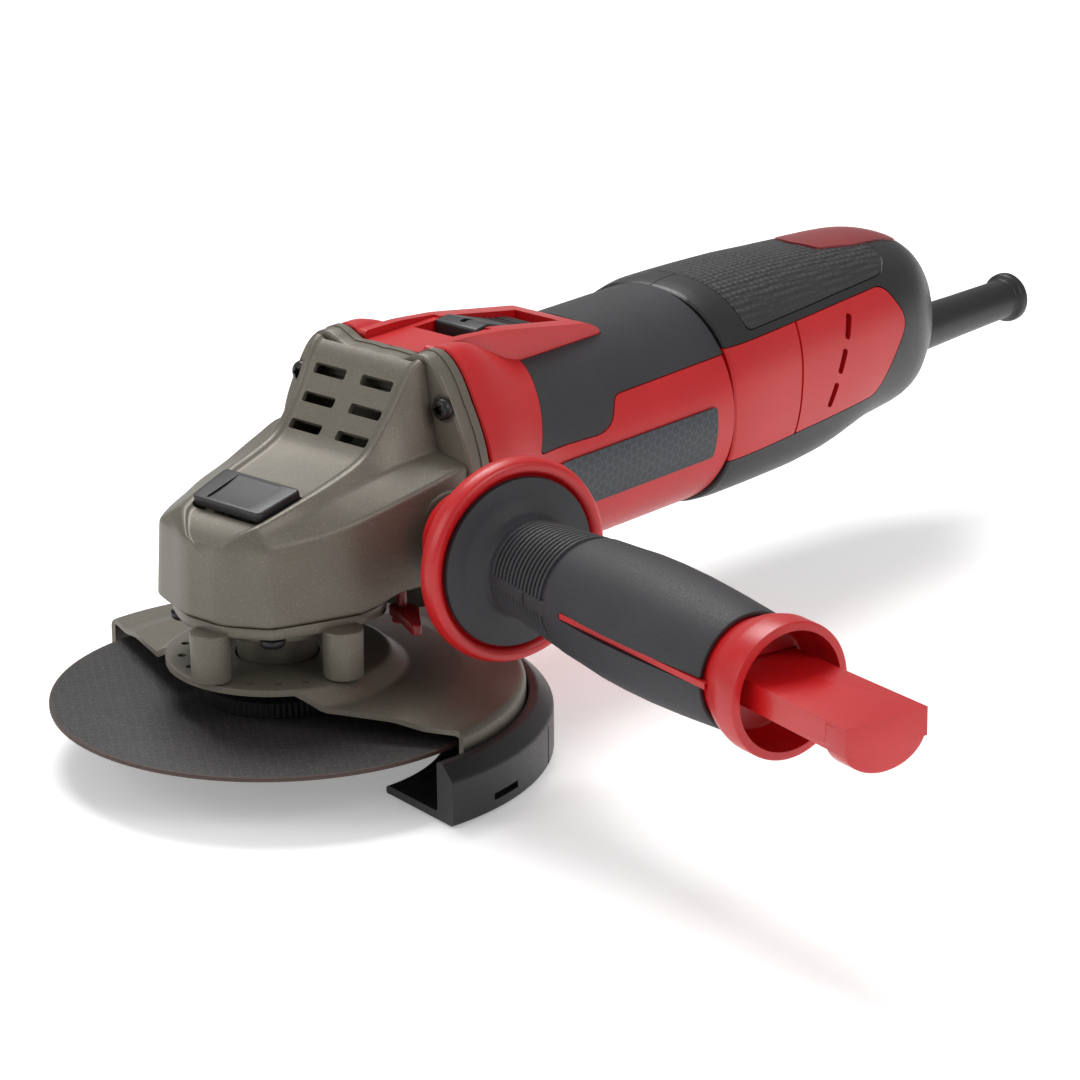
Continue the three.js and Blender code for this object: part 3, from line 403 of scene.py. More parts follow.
def scaled_rubber():
    """Soft grip covered in small overlapping scales."""
    material = finish("scaled_rubber", (0.016, 0.015, 0.017), 0.6, grain=1800, bump=0.1, vary=0.15)
    nodes, links = material.node_tree.nodes, material.node_tree.links
    shader = nodes["Principled BSDF"]
    place = nodes.new("ShaderNodeTexCoord").outputs["Object"]
    stretch = nodes.new("ShaderNodeMapping")
    stretch.inputs["Scale"].default_value = (1, 0.7, 1)
    links.new(place, stretch.inputs["Vector"])
    cells = nodes.new("ShaderNodeTexVoronoi")
    cells.inputs["Scale"].default_value = 560
    cells.inputs["Randomness"].default_value = 0.25
    links.new(stretch.outputs["Vector"], cells.inputs["Vector"])
    relief = nodes.new("ShaderNodeBump")
    relief.invert = True
    relief.inputs["Strength"].default_value = 0.9
    relief.inputs["Distance"].default_value = 0.0009
    links.new(cells.outputs["Distance"], relief.inputs["Height"])
    links.new(relief.outputs["Normal"], shader.inputs["Normal"])
    return material


def label_print():
    """Dark printed plate with a faint cell pattern."""
    material = finish("label", (0.004, 0.008, 0.013), 0.35, grain=500, bump=0.02, vary=0.2)
    nodes, links = material.node_tree.nodes, material.node_tree.links
    shader = nodes["Principled BSDF"]
    place = nodes.new("ShaderNodeTexCoord").outputs["Object"]
    total = None
    for degrees in (0, 60, 120):
        across, up = polar(2400, degrees)
        along = nodes.new("ShaderNodeVectorMath")
        along.operation = "DOT_PRODUCT"
        along.inputs[1].default_value = (0, across, up)
        links.new(place, along.inputs[0])
        swing = nodes.new("ShaderNodeMath")
        swing.operation = "COSINE"
        links.new(along.outputs["Value"], swing.inputs[0])
        if total:
            added = nodes.new("ShaderNodeMath")
            links.new(total, added.inputs[0])
            links.new(swing.outputs["Value"], added.inputs[1])
            total = added.outputs["Value"]
        else:
            total = swing.outputs["Value"]
    edge = nodes.new("ShaderNodeMapRange")
    edge.inputs["From Min"].default_value = -1.1
    edge.inputs["From Max"].default_value = -0.8
    edge.inputs["To Min"].default_value = 0.5
    edge.inputs["To Max"].default_value = 0.0
    links.new(total, edge.inputs["Value"])
    colour = nodes.new("ShaderNodeMix")
    colour.data_type = "RGBA"
    colour.inputs["B"].default_value = (0.035, 0.05, 0.07, 1)
    links.new(shader.inputs["Base Color"].links[0].from_socket, colour.inputs["A"])
    links.new(edge.outputs["Result"], colour.inputs["Factor"])
    links.new(colour.outputs["Result"], shader.inputs["Base Color"])
    return material


FINISH = {
    "diecast": finish("diecast", (0.128, 0.115, 0.090), 0.44, 0.35, 2600, 0.20, 0.08, speckle=0.10),
    "red": finish("red", (0.46, 0.006, 0.008), 0.36, 0, 1400, 0.05, 0.06),
    "red_dark": finish("red_dark", (0.20, 0.008, 0.010), 0.40, 0, 1400, 0.06, 0.1),
    "rubber": finish("rubber", (0.021, 0.020, 0.023), 0.62, 0, 1800, 0.15, 0.15),
    "black": finish("black", (0.009, 0.009, 0.010), 0.42, 0, 1500, 0.10, 0.2),
    "steel": finish("steel", (0.50, 0.50, 0.51), 0.3, 1.0, 700, 0.05, 0.1),
    "dark_steel": finish("dark_steel", (0.030, 0.028, 0.030), 0.36, 0.7, 900, 0.08, 0.2),
    "red_steel": finish("red_steel", (0.47, 0.006, 0.008), 0.33, 0, 900, 0.05, 0.06, coat=0.1),
    "disc": woven_disc(),
    "label": label_print(),
    "copper": finish("copper", (0.50, 0.16, 0.05), 0.35, 1.0, 600, 0.2, 0.15),
    "carbon": finish("carbon", (0.02, 0.02, 0.02), 0.8, 0, 900, 0.1, 0.2),
    "brass": finish("brass", (0.60, 0.42, 0.14), 0.35, 1.0, 700, 0.06, 0.1),
    "nylon": finish("nylon", (0.62, 0.60, 0.54), 0.55, 0, 900, 0.05, 0.06),
}
FINISH["grip"] = scaled_rubber()


def put(piece, body, nodes, slot, angle=32, look=None):
    """Hands a finished piece to its CAD body, in place of the nodes it stands for."""
    piece.data.materials.clear()
    piece.data.materials.append(FINISH[look or slot])
    for face in piece.data.polygons:
        face.use_smooth = True
    piece.data.set_sharp_from_angle(angle=math.radians(angle))
    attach(piece, body)
    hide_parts(*nodes)
    return piece


# ------------------------------------------------------------------ gear head
HEAD_SECTIONS = [
    (-28.0, 5.0, 57.6, 4.4, 58.4, 3.8, 59.2, 37.5), (-26.8, 9.0, 58.0, 8.2, 59.4, 7.4, 60.2, 37.5),
    (-24.1, 14.0, 58.6, 11.6, 61.2, 10.8, 62.4, 37.5), (-20.9, 19.2, 59.1, 14.6, 62.6, 13.6, 64.2, 37.5),
    (-19.9, 20.0, 59.3, 15.2, 62.9, 14.2, 64.6, 37.5), (-8.0, 25.2, 60.6, 18.4, 65.0, 16.4, 68.0, 37.5),
    (3.5, 29.6, 63.4, 20.4, 68.0, 17.0, 70.7, 37.5), (17.5, 32.4, 66.6, 22.0, 70.6, 17.6, 75.0, 40.5),
    (27.0, 34.0, 68.8, 23.0, 72.2, 18.4, 84.7, 40.5), (38.0, 35.4, 71.0, 24.0, 73.4, 19.8, 98.2, 40.5),
    (40.5, 35.0, 70.8, 23.8, 73.2, 19.4, 96.4, 40.5),
]
LEFT_FULLER = 5.0  # the nose stands this much wider on the side away from the handle
FLANGE_OUTLINE = [
    (-90, 32), (-64, 34.4), (-38, 37), (-20, 36.8), (0, 36), (21, 38.2), (45.5, 42.0), (48, 42.8),
    (62, 46.6),
    (64.5, 46.8), (70.5, 44.8), (74, 41.4), (90, 39.8),
]
HEAD_SCREWS = [(26.5, 85.6), (-26.5, 85.6), (26, 37), (-26, 37)]
HEAD_Y = [-28, -28, -27.8, -27.4, -26.9, -26, -25, -24, -22.6, -21.6, -20.9, -20.4, -19.9, -19.2, -17.5,
          -14, -11, -6, -1, 2, 4, 9, 13, 16, 18.5, 21, 24, 27, 30, 33, 35.5, 38, 40.5]
NOSE_INSET = {0: 1.6, 1: 0.7, 2: 0.25}


def head_ring(row, inset):
    y = HEAD_Y[row]
    wide, z_shoulder, w_ledge, z_ledge, w_rib, z_rib, z_bottom = curve(HEAD_SECTIONS, y)
    inset = inset + NOSE_INSET.get(row, 0)
    bottom = z_bottom - (1 if inset > 2 else 0) + (NOSE_INSET.get(row, 0))
    draft = lerp(1.6, 0.4, smooth(y, -20, 20)) * smooth(y, -28, -24)
    half = [
        (wide - inset, bottom), (wide - inset - draft, z_shoulder - inset * 0.4),
        (w_ledge - inset, z_ledge - inset),
        (w_rib - inset, z_rib - inset), (w_rib - inset - 1.6, z_rib - inset),
        (w_rib - inset - 3, z_rib - 1 - inset),
    ]
    half = [(max(x, 1.5), z) for x, z in half]
    fuller = LEFT_FULLER * smooth(y, -28, -21) * (1 - smooth(y, -14, 14))
    left = [fuller, fuller, fuller * 0.5, 0, 0, 0]
    whole = half + [(-x - extra, z) for (x, z), extra in reversed(list(zip(half, left)))]
    rounding = [1.0, 1.3, 1.0, 0.8, 0.6, 0.9]
    place = y + (-inset * 0.8 if y == 40.5 else 0)
    return [(x, place, z) for x, z in soften(whole, rounding + rounding[::-1], 4)]


def head_body(name, inset):
    rows = range(len(HEAD_Y)) if inset == 0 else range(3, len(HEAD_Y))
    rings = [head_ring(row, inset) for row in rows]
    if inset:
        rings = [[(x, y + inset * smooth(-y, 20, 28), z) for x, y, z in ring] for ring in rings]
    return loft(name, rings)


def flange_radius(degrees):
    folded = degrees
    if abs(degrees) > 90:
        folded = math.copysign(180, degrees) - degrees
    return curve(FLANGE_OUTLINE, folded)[0]


def flange_outline(inset, count=120):
    outline = []
    for i in range(count):
        angle = -180 + 360 * i / count
        x, z = polar(flange_radius(angle) - inset, angle)
        outline.append((x, z + MOTOR_Z))
    return outline


BUTTON = {"y": -10.2, "z": 66.4, "tilt": 14, "length": 15.2, "front": 12.6, "back": 14.2}
PIN_Y = -2.5


def button_outline(grow, rounding=1.6):
    half = BUTTON["length"] / 2 + grow
    front, back = BUTTON["front"] + grow, BUTTON["back"] + grow
    return soften([(-front, -half), (front, -half), (back, half), (-back, half)], rounding)


def on_button(piece):
    return moved(piece, ("X", BUTTON["tilt"]), (0, BUTTON["y"], BUTTON["z"]))


SLOPE = ((17.5, 75.0), (38.0, 98.2))
SLOPE_DEG = math.degrees(math.atan2(SLOPE[1][1] - SLOPE[0][1], SLOPE[1][0] - SLOPE[0][0]))


def vent_cutters():
    for row in range(3):
        along = 0.155 + row * 0.27
        y, z = lerp(SLOPE[0][0], SLOPE[1][0], along), lerp(SLOPE[0][1], SLOPE[1][1], along)
        for side in (-1, 1):
            slot = soften([(-5.85, -1.5), (5.85, -1.5), (5.85, 1.5), (-5.85, 1.5)], 0.8)
            bar = prism("vent", slot, -8, 8)
            moved(bar, None, (side * 8.75, 0, 0))
            yield moved(bar, ("X", SLOPE_DEG), (0, y, z))


def gear_housing():
    head = head_body("gear_head", 0)
    rim = prism("rim", flange_outline(0), FLANGE_Y, HOUSING_Y - GAP, "Y")
    bevel(rim, 0.8, 3)
    lip = prism("lip", flange_outline(-0.35), HOUSING_Y - GAP - 3.6, HOUSING_Y - GAP - 1.4, "Y")
    bosses = [on_handle(rod("boss", 8.5, -36, -27, "X", edge=0.8), side) for side in (1, -1)]
    collars = [on_handle(rod("collar", 11.5, -38, -31.5, "X", edge=1.6), side) for side in (1, -1)]
    join(head, rim, lip, *bosses, *collars)
    relief = [rod("relief", 4, 30, FLANGE_Y + 0.4, "Y", spot) for spot in HEAD_SCREWS]
    cut(head, *relief)
    cut(head, head_body("hollow", 3.4), rod("bay", 25, 30, HOUSING_Y + 1, "Y", (0, MOTOR_Z)))
    seat = common(on_button(prism("seat", button_outline(1.5), -6.4, -0.4)), head_body("inside", 1))
    bush_seat = common(rod("bush_seat", 8.6, 56.5, 84), head_body("inside", 1))
    join(head, seat, bush_seat)
    cut(head, on_button(prism("well", button_outline(0.5), -3.6, 8)))
    cut(head, on_button(rod("pin_hole", 3.2, -12, 2, centre=(0, PIN_Y))), rod("bush_hole", 6.6, 50, 62))
    cut(head, *[on_handle(rod("thread", 4.2, -48, -26, "X"), side) for side in (1, -1)])
    cut(head, *[rod("screw_hole", 2.3, FLANGE_Y - 6, HOUSING_Y + 1, "Y", spot) for spot in HEAD_SCREWS])
    cut(head, *vent_cutters())
    return put(head, "tool_body", ["gear_housing"], "diecast", 30)


def torx_screw(name, spot, axis, head_at, facing, radius=3.2):
    """A pan-head screw with a six-lobe recess."""
    low, high = sorted((head_at, head_at + facing * 2.6))
    dome = [(0, head_at), (radius, head_at), (radius, head_at + facing * 1.3),
            (radius * 0.78, head_at + facing * 2.4),
            (0, head_at + facing * 2.6)]
    screw = lathe(name, soften(dome, 0.7, closed=False), axis, 48, centre=spot)
    shank = rod("shank", 1.9, *sorted((head_at + facing * 0.4, head_at - facing * 8)), axis, spot)
    lobes = []
    for i in range(48):
        angle = TAU * i / 48
        r = 1.5 + 0.32 * math.cos(6 * angle)
        lobes.append((spot[0] + r * math.cos(angle), spot[1] + r * math.sin(angle)))
    recess = prism("recess", lobes, *sorted((head_at + facing * 0.9, head_at + facing * 4)), axis)
    return cut(join(screw, shank), recess)


COVER_OUTLINE = [
    (5, -27.6), (9, -26.4), (14, -23.8), (19, -20.7), (20.2, -18.8), (24.6, -9), (29, 3), (28, 12),
    (22, 21), (13, 27),
    (4, 29.5),
]
COVER_SCREWS = [(17, -18.5), (-17, -18.5), (20, 17), (-20, 17)]
SPIGOT_R = 11


def bearing_cover():
    outline = COVER_OUTLINE + [(-x, y) for x, y in reversed(COVER_OUTLINE)]
    plate = bevel(prism("cover", soften(outline, 2.5, 3), COVER_BOTTOM, HEAD_BOTTOM - GAP), 0.5)
    neck = soften([(0, 17.8), (SPIGOT_R, 17.8), (SPIGOT_R, 18.0), (10.1, 18.0), (10.1, 19.2),
                   (SPIGOT_R, 19.2),
                   (SPIGOT_R, 30.5), (20, 30.5), (20, 37), (19.6, 43.5), (0, 43.5)], 0.4, 3, closed=False)
    join(plate, lathe("neck", neck))
    for angle in (-84, -6, 96, 174):
        x, y = polar(28, angle)
        post = [(0, COLLAR_TOP + GAP), (5.4, COLLAR_TOP + GAP), (5.6, COVER_BOTTOM + 1),
                (0, COVER_BOTTOM + 1)]
        join(plate, lathe("post", soften(post, 0.5, 4, closed=False), steps=48, centre=(x, y)))
    bore = [(0, 10), (8.2, 10), (8.2, 34.5), (16.3, 34.5), (16.3, 50), (0, 50)]
    cut(plate, lathe("bore", bore), *[rod("hole", 2.3, 20, 40, centre=spot) for spot in COVER_SCREWS])
    put(plate, "tool_body", ["bearing_cover"], "diecast")


# ------------------------------------------------------------------ spindle end
def spindle_end():
    thread = [(0, 0.0), (5.6, 0.0)]
    for turn in range(4):
        z = 0.9 + turn * 2
        thread += [(5.9, z - 0.9), (6.9, z), (6.9, z + 0.25), (5.9, z + 1.1)]
    thread += [(6.9, 9.0), (7.6, 9.0), (7.6, 49.4), (4, 49.4), (4, 61.4), (0, 61.4)]
    put(lathe("spindle_turned", thread, steps=64), "spindle_group", ["spindle"], "steel")

    def knurl(angle, radius, height):
        return 0.3 * math.cos(angle * 80) if radius > 20.2 else 0

    flange = [(8.1, 7.9), (10.8, 7.9), (10.8, DISC_TOP + GAP), (20.9, DISC_TOP + GAP), (20.9, 13.4),
              (19.4, 14.4),
              (12, 16.6), (8.1, 16.6)]
    put(lathe("inner_flange_knurled", flange, steps=480, wave=knurl), "spindle_group", ["inner_flange"],
        "dark_steel", 45)
    nut = soften([(7.2, 1.5), (12, 1.5), (12.5, 2.6), (18.4, 2.6), (19, 3.2), (19, 7.5), (7.2, 7.5)],
                 0.35, 3)
    holes = [rod("pin_hole", 2.4, 0, 5.6, centre=(side * 15, 0)) for side in (1, -1)]
    put(cut(lathe("outer_nut", nut), *holes), "spindle_group", ["flange_nut"], "dark_steel")
    wheel = soften([(11.1, 7.8), (DISC_R, 7.8), (DISC_R, DISC_TOP), (11.1, DISC_TOP)], 0.25, 2)
    put(lathe("disc_fine", wheel, steps=192), "spindle_group", ["cutting_disc"], "disc")


# ------------------------------------------------------------------ spindle lock
def spindle_lock():
    plate = bevel(prism("lock_plate", button_outline(0), 0, 3), 0.5, 3)
    hollow = rod("finger_dish", 60, -8, 8, "X", (-1.5, 62.4), 256)
    cut(plate, common(hollow, prism("dish_edge", button_outline(-1.3), 1, 6)))
    cut(plate, rod("socket", 2.4, -1, 1.6, centre=(0, PIN_Y)))
    put(on_button(plate), "spindle_lock", ["lock_button"], "black")


# ------------------------------------------------------------------ guard
def front_wedge(corner, inner, far=110):
    (cx, cy), (ix, iy) = corner, inner
    slope = (cy - iy) / (cx - ix)
    edge = cy + slope * (far - cx)
    return [(-far, -far), (far, -far), (far, edge), (cx, cy), (ix, iy), (-ix, iy), (-cx, cy), (-far, edge)]


def guard():
    hub = SPIGOT_R + 0.4
    top = [(hub, COLLAR_TOP), (30.5, COLLAR_TOP), (35.5, 16.7), (50, 16), (57.5, 14.2), (66, 14),
           (GUARD_R, 12.4),
           (GUARD_R, 1)]
    under = [(66, 1), (66, 12), (65.2, 12.5), (57.3, 12.7), (49.8, 14.5), (35, 15.2), (30, 19.6),
             (hub, 19.6)]
    shell = lathe("guard_shell", soften(top + under, 1.1, 4), steps=192)
    far = [(-110, -110), (110, -110), (110, 1), (66, 1), (23, -19), (-23, -19), (-66, 1), (-110, 1)]
    front = cut(prism("front", far, -30, 60), rod("keep", COLLAR_R, -40, 70, steps=96))
    cut(shell, front)
    dimples = [rod("dimple", 1.2, 10, 30, centre=polar(26, angle), steps=24)
               for angle in (-150, -130, -110, -62, -45, -28)]
    cut(shell, *dimples)
    put(shell, "guard", ["wheel_guard"], "diecast", 30)
    ring = lathe("clip", soften([(68, 9), (70.5, 9), (75, 5), (75, -7.5), (45, -7.5), (45, -5.2),
                                 (68, -5.2)], 0.9, 4),
                 steps=192)
    cut(ring, prism("clip_front", front_wedge((76, -11), (46, -5)), -30, 60),
        block("clip_left", -110, -20, -60, 16, -30, 60))
    for angle in (8, 172):
        slot = soften([(72.5, -5.5), (80, -5.5), (80, 5.5), (72.5, 5.5)], 0.2)
        cut(ring, moved(prism("slot", slot, -4.6, -2.6), ("Z", angle)))
    for angle in (30, 60, 90, 120, 150):
        groove = [(74.3, -0.5), (80, -0.5), (80, 0.5), (74.3, 0.5)]
        cut(ring, moved(prism("groove", groove, -7, 4), ("Z", angle)))
    put(ring, "guard", ["guard_clip_cover"], "black", 30)


# ------------------------------------------------------------------ motor housing
def housing_ring(y, inset, count=144):
    mixed = smooth(y, HOUSING_Y + 4, 86)
    ring = []
    for i in range(count):
        angle = -180 + 360 * i / count
        x, z = polar(lerp(flange_radius(angle), BARREL_R, mixed) - inset, angle)
        ring.append((x, y, z + MOTOR_Z))
    return ring


def housing_body(name, inset, low=HOUSING_Y + GAP, high=PARTING_Y - GAP, edge=0.0):
    stations = [low] + spread(52, 86, 18) + [100, 120, 140, high]
    rings = [housing_ring(y, inset) for y in stations]
    if edge:
        rings = [housing_ring(low, inset + edge), housing_ring(low + edge, inset)] + rings[1:-1] + [
            housing_ring(high - edge, inset), housing_ring(high, inset + edge)]
    return loft(name, rings)


def overmould_region(grow):
    g = grow
    side = [(84 - g, 110), (84.3 - g, 86.5), (79.2 - g, 79.4), (70.6 - g, 66.1 - g), (98 + g, 65 - g),
            (103 + g, 66.8 - g), (107.5 + g, 73.5 - g), (PARTING_Y + 1, 74 - g), (PARTING_Y + 1, 110)]
    return prism("region", soften(side, 2.2, 4), -60, 60, "X")


HOOD = [(48.3, 80), (48.3, 98.2), (62, 98), (78, 96.4), (100, 92.6), (113, 90.4), (118, 87.6), (118, 80)]


def hood_block(grow=0.0):
    outline = [(y + (grow if y > 110 else 0), z + grow) for y, z in HOOD]
    wide = 14 + grow
    piece = prism("hood", soften(outline, [0.01, 1.5, 3, 3, 3, 2, 1.5, 0.01], 5), -wide, wide, "X")
    return piece if grow else bevel(piece, 1.4, 4, 50)


def motor_housing():
    body = housing_body("housing", 0, edge=0.5)
    pocket = cut(housing_body("outside", -2, 44, 158), housing_body("depth", SKIN + GAP, 43, 159))
    cut(body, common(pocket, overmould_region(GAP)))
    join(body, hood_block())
    hollow = [rod("bore", 28.5, 70, 147.7, "Y", (0, MOTOR_Z), 96),
              rod("bay", 30, 40, 70.5, "Y", (0, MOTOR_Z), 96),
              rod("rear_hole", 9.8, 140, 160, "Y", (0, MOTOR_Z))]
    for angle in (30, 150, 210, 270, 330):
        x, z = polar(19.5, angle)
        hollow.append(rod("window", 5.6, 140, 160, "Y", (x, z + MOTOR_Z), 32))
    cut(body, *hollow)
    recess = prism("recess", soften([(65, 87), (65, 120), (107, 120), (107, 87)], 1.2), -8.3, 8.3, "X")
    channel = block("channel", -11, 11, 40, 76, 96, 120)
    cut(body, recess, channel, block("lever_slot", -3.6, 3.6, 76, 104, 80, 90),
        block("notch", -5, 5, 140, 160, 82, 85.6))
    cut(body, *[rod("screw_way", 2.3, 40, 57, "Y", spot) for spot in HEAD_SCREWS])
    put(body, "tool_body", ["motor_housing"], "red", 30)
    soft = cut(housing_body("overmould", 0), housing_body("depth", SKIN, 43, 159))
    common(soft, overmould_region(0))
    cut(soft, hood_block(GAP))
    put(soft, "tool_body", ["housing_overmould"], "rubber", 35)
    for side, name in ((1, "label_right"), (-1, "label_left")):
        plate = cut(housing_body(name + "_print", -0.75), housing_body("under", -GAP, 43, 159))
        low, high = sorted((10 * side, 60 * side))
        window = soften([(79, 45.6), (147, 45.6), (147, 61.2), (79, 61.2)], 1.2)
        common(plate, prism("window", window, low, high, "X"))
        put(plate, "tool_body", [name], "label", 35)


def slide_switch():
    side = soften([(73, 87.4), (103, 87.4), (103, 90.6), (96, 91.8), (89, 93.6), (78, 97), (73, 96.4)],
                  0.8, 4)
    body = bevel(prism("slider", side, -7.8, 7.8, "X"), 0.5, 3)
    grooves = [block("groove", -9, 9, y, y + 1.1, 91.0, 97) for y in (91.5, 94, 96.5, 99, 101.4)]
    cut(body, *grooves)
    dome = prism("dash", soften([(-1, 75.5), (1, 75.5), (1, 80.5), (-1, 80.5)], 0.6), 95.9, 99)
    cut(body, dome)
    join(body, block("tongue", -2.8, 2.8, 86, 96, 83.5, 88), block("rod", -4, 4, 84, 183, 82.7, 84.2))
    put(body, "switch_slider", ["slide_switch"], "black")


# ------------------------------------------------------------------ rear grip
REAR_STATIONS = [
    (156.3, 32.6, 89.2, 23.8), (163, 33, 90.2, 23.2), (196, 31.2, 89.6, 23), (214, 30, 88.4, 24.2),
    (226, 29.2, 87.6, 26.6), (236, 28.4, 86.8, 28.8), (250, 27.4, 85.6, 30), (257, 25.4, 84.4, 30.8),
    (265, 20.8, 81.4, 32.6), (273, 15.4, 75.6, 35), (REAR_Y, 9.8, 65, 37.2),
]
REAR_Y_ROWS = [156.3, 156.9, 158, 160, 163, 170, 180, 190, 200, 208, 214, 220, 226, 231, 236, 243, 250, 254,
               257, 260, 262.5, 265, 268, 270.5, 273, 276, 278.5, 280, REAR_Y]
SLEEVE_Z = 45.8
SHELL_SCREWS = [(252, 38), (186, 31.5)]


def rear_ring(y, inset, count=96):
    half, top, bottom = curve(REAR_STATIONS, y)
    middle, tall, wide = (top + bottom) / 2, (top - bottom) / 2 - inset, half - inset
    ring = []
    for i in range(count):
        angle = TAU * i / count
        a, b = math.cos(angle), math.sin(angle)
        ring.append((wide * math.copysign(abs(a) ** 0.86, a), y,
                     tall * math.copysign(abs(b) ** 0.86, b) + middle))
    return ring


def rear_body(name, inset):
    rings = []
    for row, y in enumerate(REAR_Y_ROWS):
        edges = {0: 0.5, len(REAR_Y_ROWS) - 1: 1.2, len(REAR_Y_ROWS) - 2: 0.3}
        edge = edges.get(row, 0) if inset <= 0 else 0
        shift = 0
        if inset < 0:
            shift = -1 if row == 0 else (1 if row == len(REAR_Y_ROWS) - 1 else 0)
        if inset > 0 and row in (0, len(REAR_Y_ROWS) - 1):
            shift = -0.5 if row == 0 else 0.5
        rings.append([(x, y + shift, z) for x, _, z in rear_ring(y, inset + edge)])
    return loft(name, rings)


def panel_region(side, grow):
    g = grow
    outline = [(150, 41.5 - g), (230 + g, 43.5 - g), (244.5 + g, 64), (236 + g, 76 + g), (150, 75.2 + g)]
    low, high = sorted((4 * side, 60 * side))
    return prism("panel_region", soften(outline, [0.01, 4, 5, 4, 0.01], 5), low, high, "X")


def grip_region(grow):
    g = grow
    outline = [(168 - g, 110), (168 - g, 78 - g), (238 + g, 78.6 - g), (245 + g, 82), (245 + g, 110)]
    return prism("grip_region", soften(outline, [0.01, 2.5, 2.5, 2.5, 0.01], 4), -60, 60, "X")


def trim_region(grow):
    g = grow
    outline = [(-8.5 - g, 224), (0, 221 - g), (8.5 + g, 224), (10.5 + g, 240), (9.5 + g, 262 + g),
               (-9.5 - g, 262 + g), (-10.5 - g, 240)]
    return prism("trim_region", soften(outline, 2, 4), 76, 100)


def rear_vents():
    for slot in range(3):
        outline = soften([(-1.3, -3.8), (1.3, -3.8), (1.3, 3.8), (-1.3, 3.8)], 1.0, 4)
        bar = prism("rear_vent", outline, -60, 60, "X")
        yield moved(bar, ("X", -26), (0, 205 + slot * 4.6, 50 + slot * 9.4))


def pockets():
    for region in (grip_region(GAP), trim_region(GAP), panel_region(1, GAP), panel_region(-1, GAP)):
        yield common(cut(rear_body("layer", -1), rear_body("depth", SKIN + GAP)), region)


def rear_grip():
    whole = cut(rear_body("rear", 0), *pockets())
    cut(whole, rear_body("hollow", SKIN + WALL))
    collar = common(rod("collar", 12.6, 262, 275, "Y", (0, SLEEVE_Z)), rear_body("inside", 1))
    bulkhead = common(block("bulkhead", -60, 60, 150, 160.3, 0, 110),
                      rear_body("inside", SKIN + WALL - 0.5))
    posts = [common(rod("post", 4.2, -60, 60, "X", spot), rear_body("inside", SKIN + 0.6))
             for spot in SHELL_SCREWS]
    join(whole, collar, bulkhead, *posts)
    gland = [(0, 257), (10, 257), (10, 269.4), (7.7, 269.4), (7.7, 300), (0, 300)]
    cut(whole, lathe("gland", gland, "Y", centre=(0, SLEEVE_Z)),
        rod("front_hole", 25.8, 140, 170, "Y", (0, MOTOR_Z)),
        block("rod_way", -5, 5, 150, 170, 80, 85.6), *rear_vents())
    cut(whole, *[rod("screw_way", 2, -60, 16.5, "X", spot, 32) for spot in SHELL_SCREWS],
        *[rod("head_way", 3.8, -60, -15.7, "X", spot, 32) for spot in SHELL_SCREWS])
    for side, name in ((1, "rear_shell_right"), (-1, "rear_shell_left")):
        low, high = sorted((0.15 * side, 60 * side))
        half = common(twin(whole, name + "_fine"), block("half", low, high, 100, 340, -20, 140))
        put(half, "tool_body", [name], "black", 35)
    bpy.data.objects.remove(whole)
    for side, name in ((1, "side_panel_right"), (-1, "side_panel_left")):
        panel = cut(rear_body(name + "_fine", 0), rear_body("depth", SKIN), *rear_vents())
        common(panel, panel_region(side, 0))
        low, high = sorted((22 * side, 60 * side))
        crease = prism("crease", [(189.8, 80), (190.8, 80), (187.4, 40), (186.4, 40)], low, high, "X")
        cut(panel, common(crease, cut(rear_body("skin", -1), rear_body("depth", 0.5))))
        put(panel, "tool_body", [name], "red", 35)
    grip = cut(rear_body("grip_fine", 0), rear_body("depth", SKIN), trim_region(GAP))
    common(grip, grip_region(0))
    put(grip, "tool_body", ["grip_rubber"], "rubber", 35, "grip")
    trim = common(cut(rear_body("trim_fine", -0.5), rear_body("depth", SKIN)), trim_region(0))
    put(trim, "tool_body", ["top_trim"], "red_dark", 35)


def strain_relief():
    profile = [(3.7, 258.4), (9.6, 258.4), (9.6, 269), (7.3, 269.2), (7.2, 282), (6.6, 306), (6.2, 330.6),
               (7.7, 331.6),
               (7.9, 332.4), (7.9, 334.2), (7.2, 335), (4.6, 335), (3.7, 334.2)]
    put(lathe("sleeve", soften(profile, 0.3, 2), "Y", 64, centre=(0, SLEEVE_Z)), "tool_body",
        ["strain_relief"], "black")


# ------------------------------------------------------------------ side handle
KEY = {"tip": 62, "step": 85, "bar": 146, "end": 154, "top": 5, "bottom": -2.4, "cap": -9}
SLIT = {"from": 42, "to": 101, "z": 1}


def key_slot(grow=0.4):
    low, high = KEY["bottom"] - grow, KEY["top"] + grow
    yield block("slot_narrow", 22, 60, -9 - grow, 9 + grow, low, high)
    yield block("slot_wide", 46.5, 120, -11.6 - grow, 11.6 + grow, low, high)


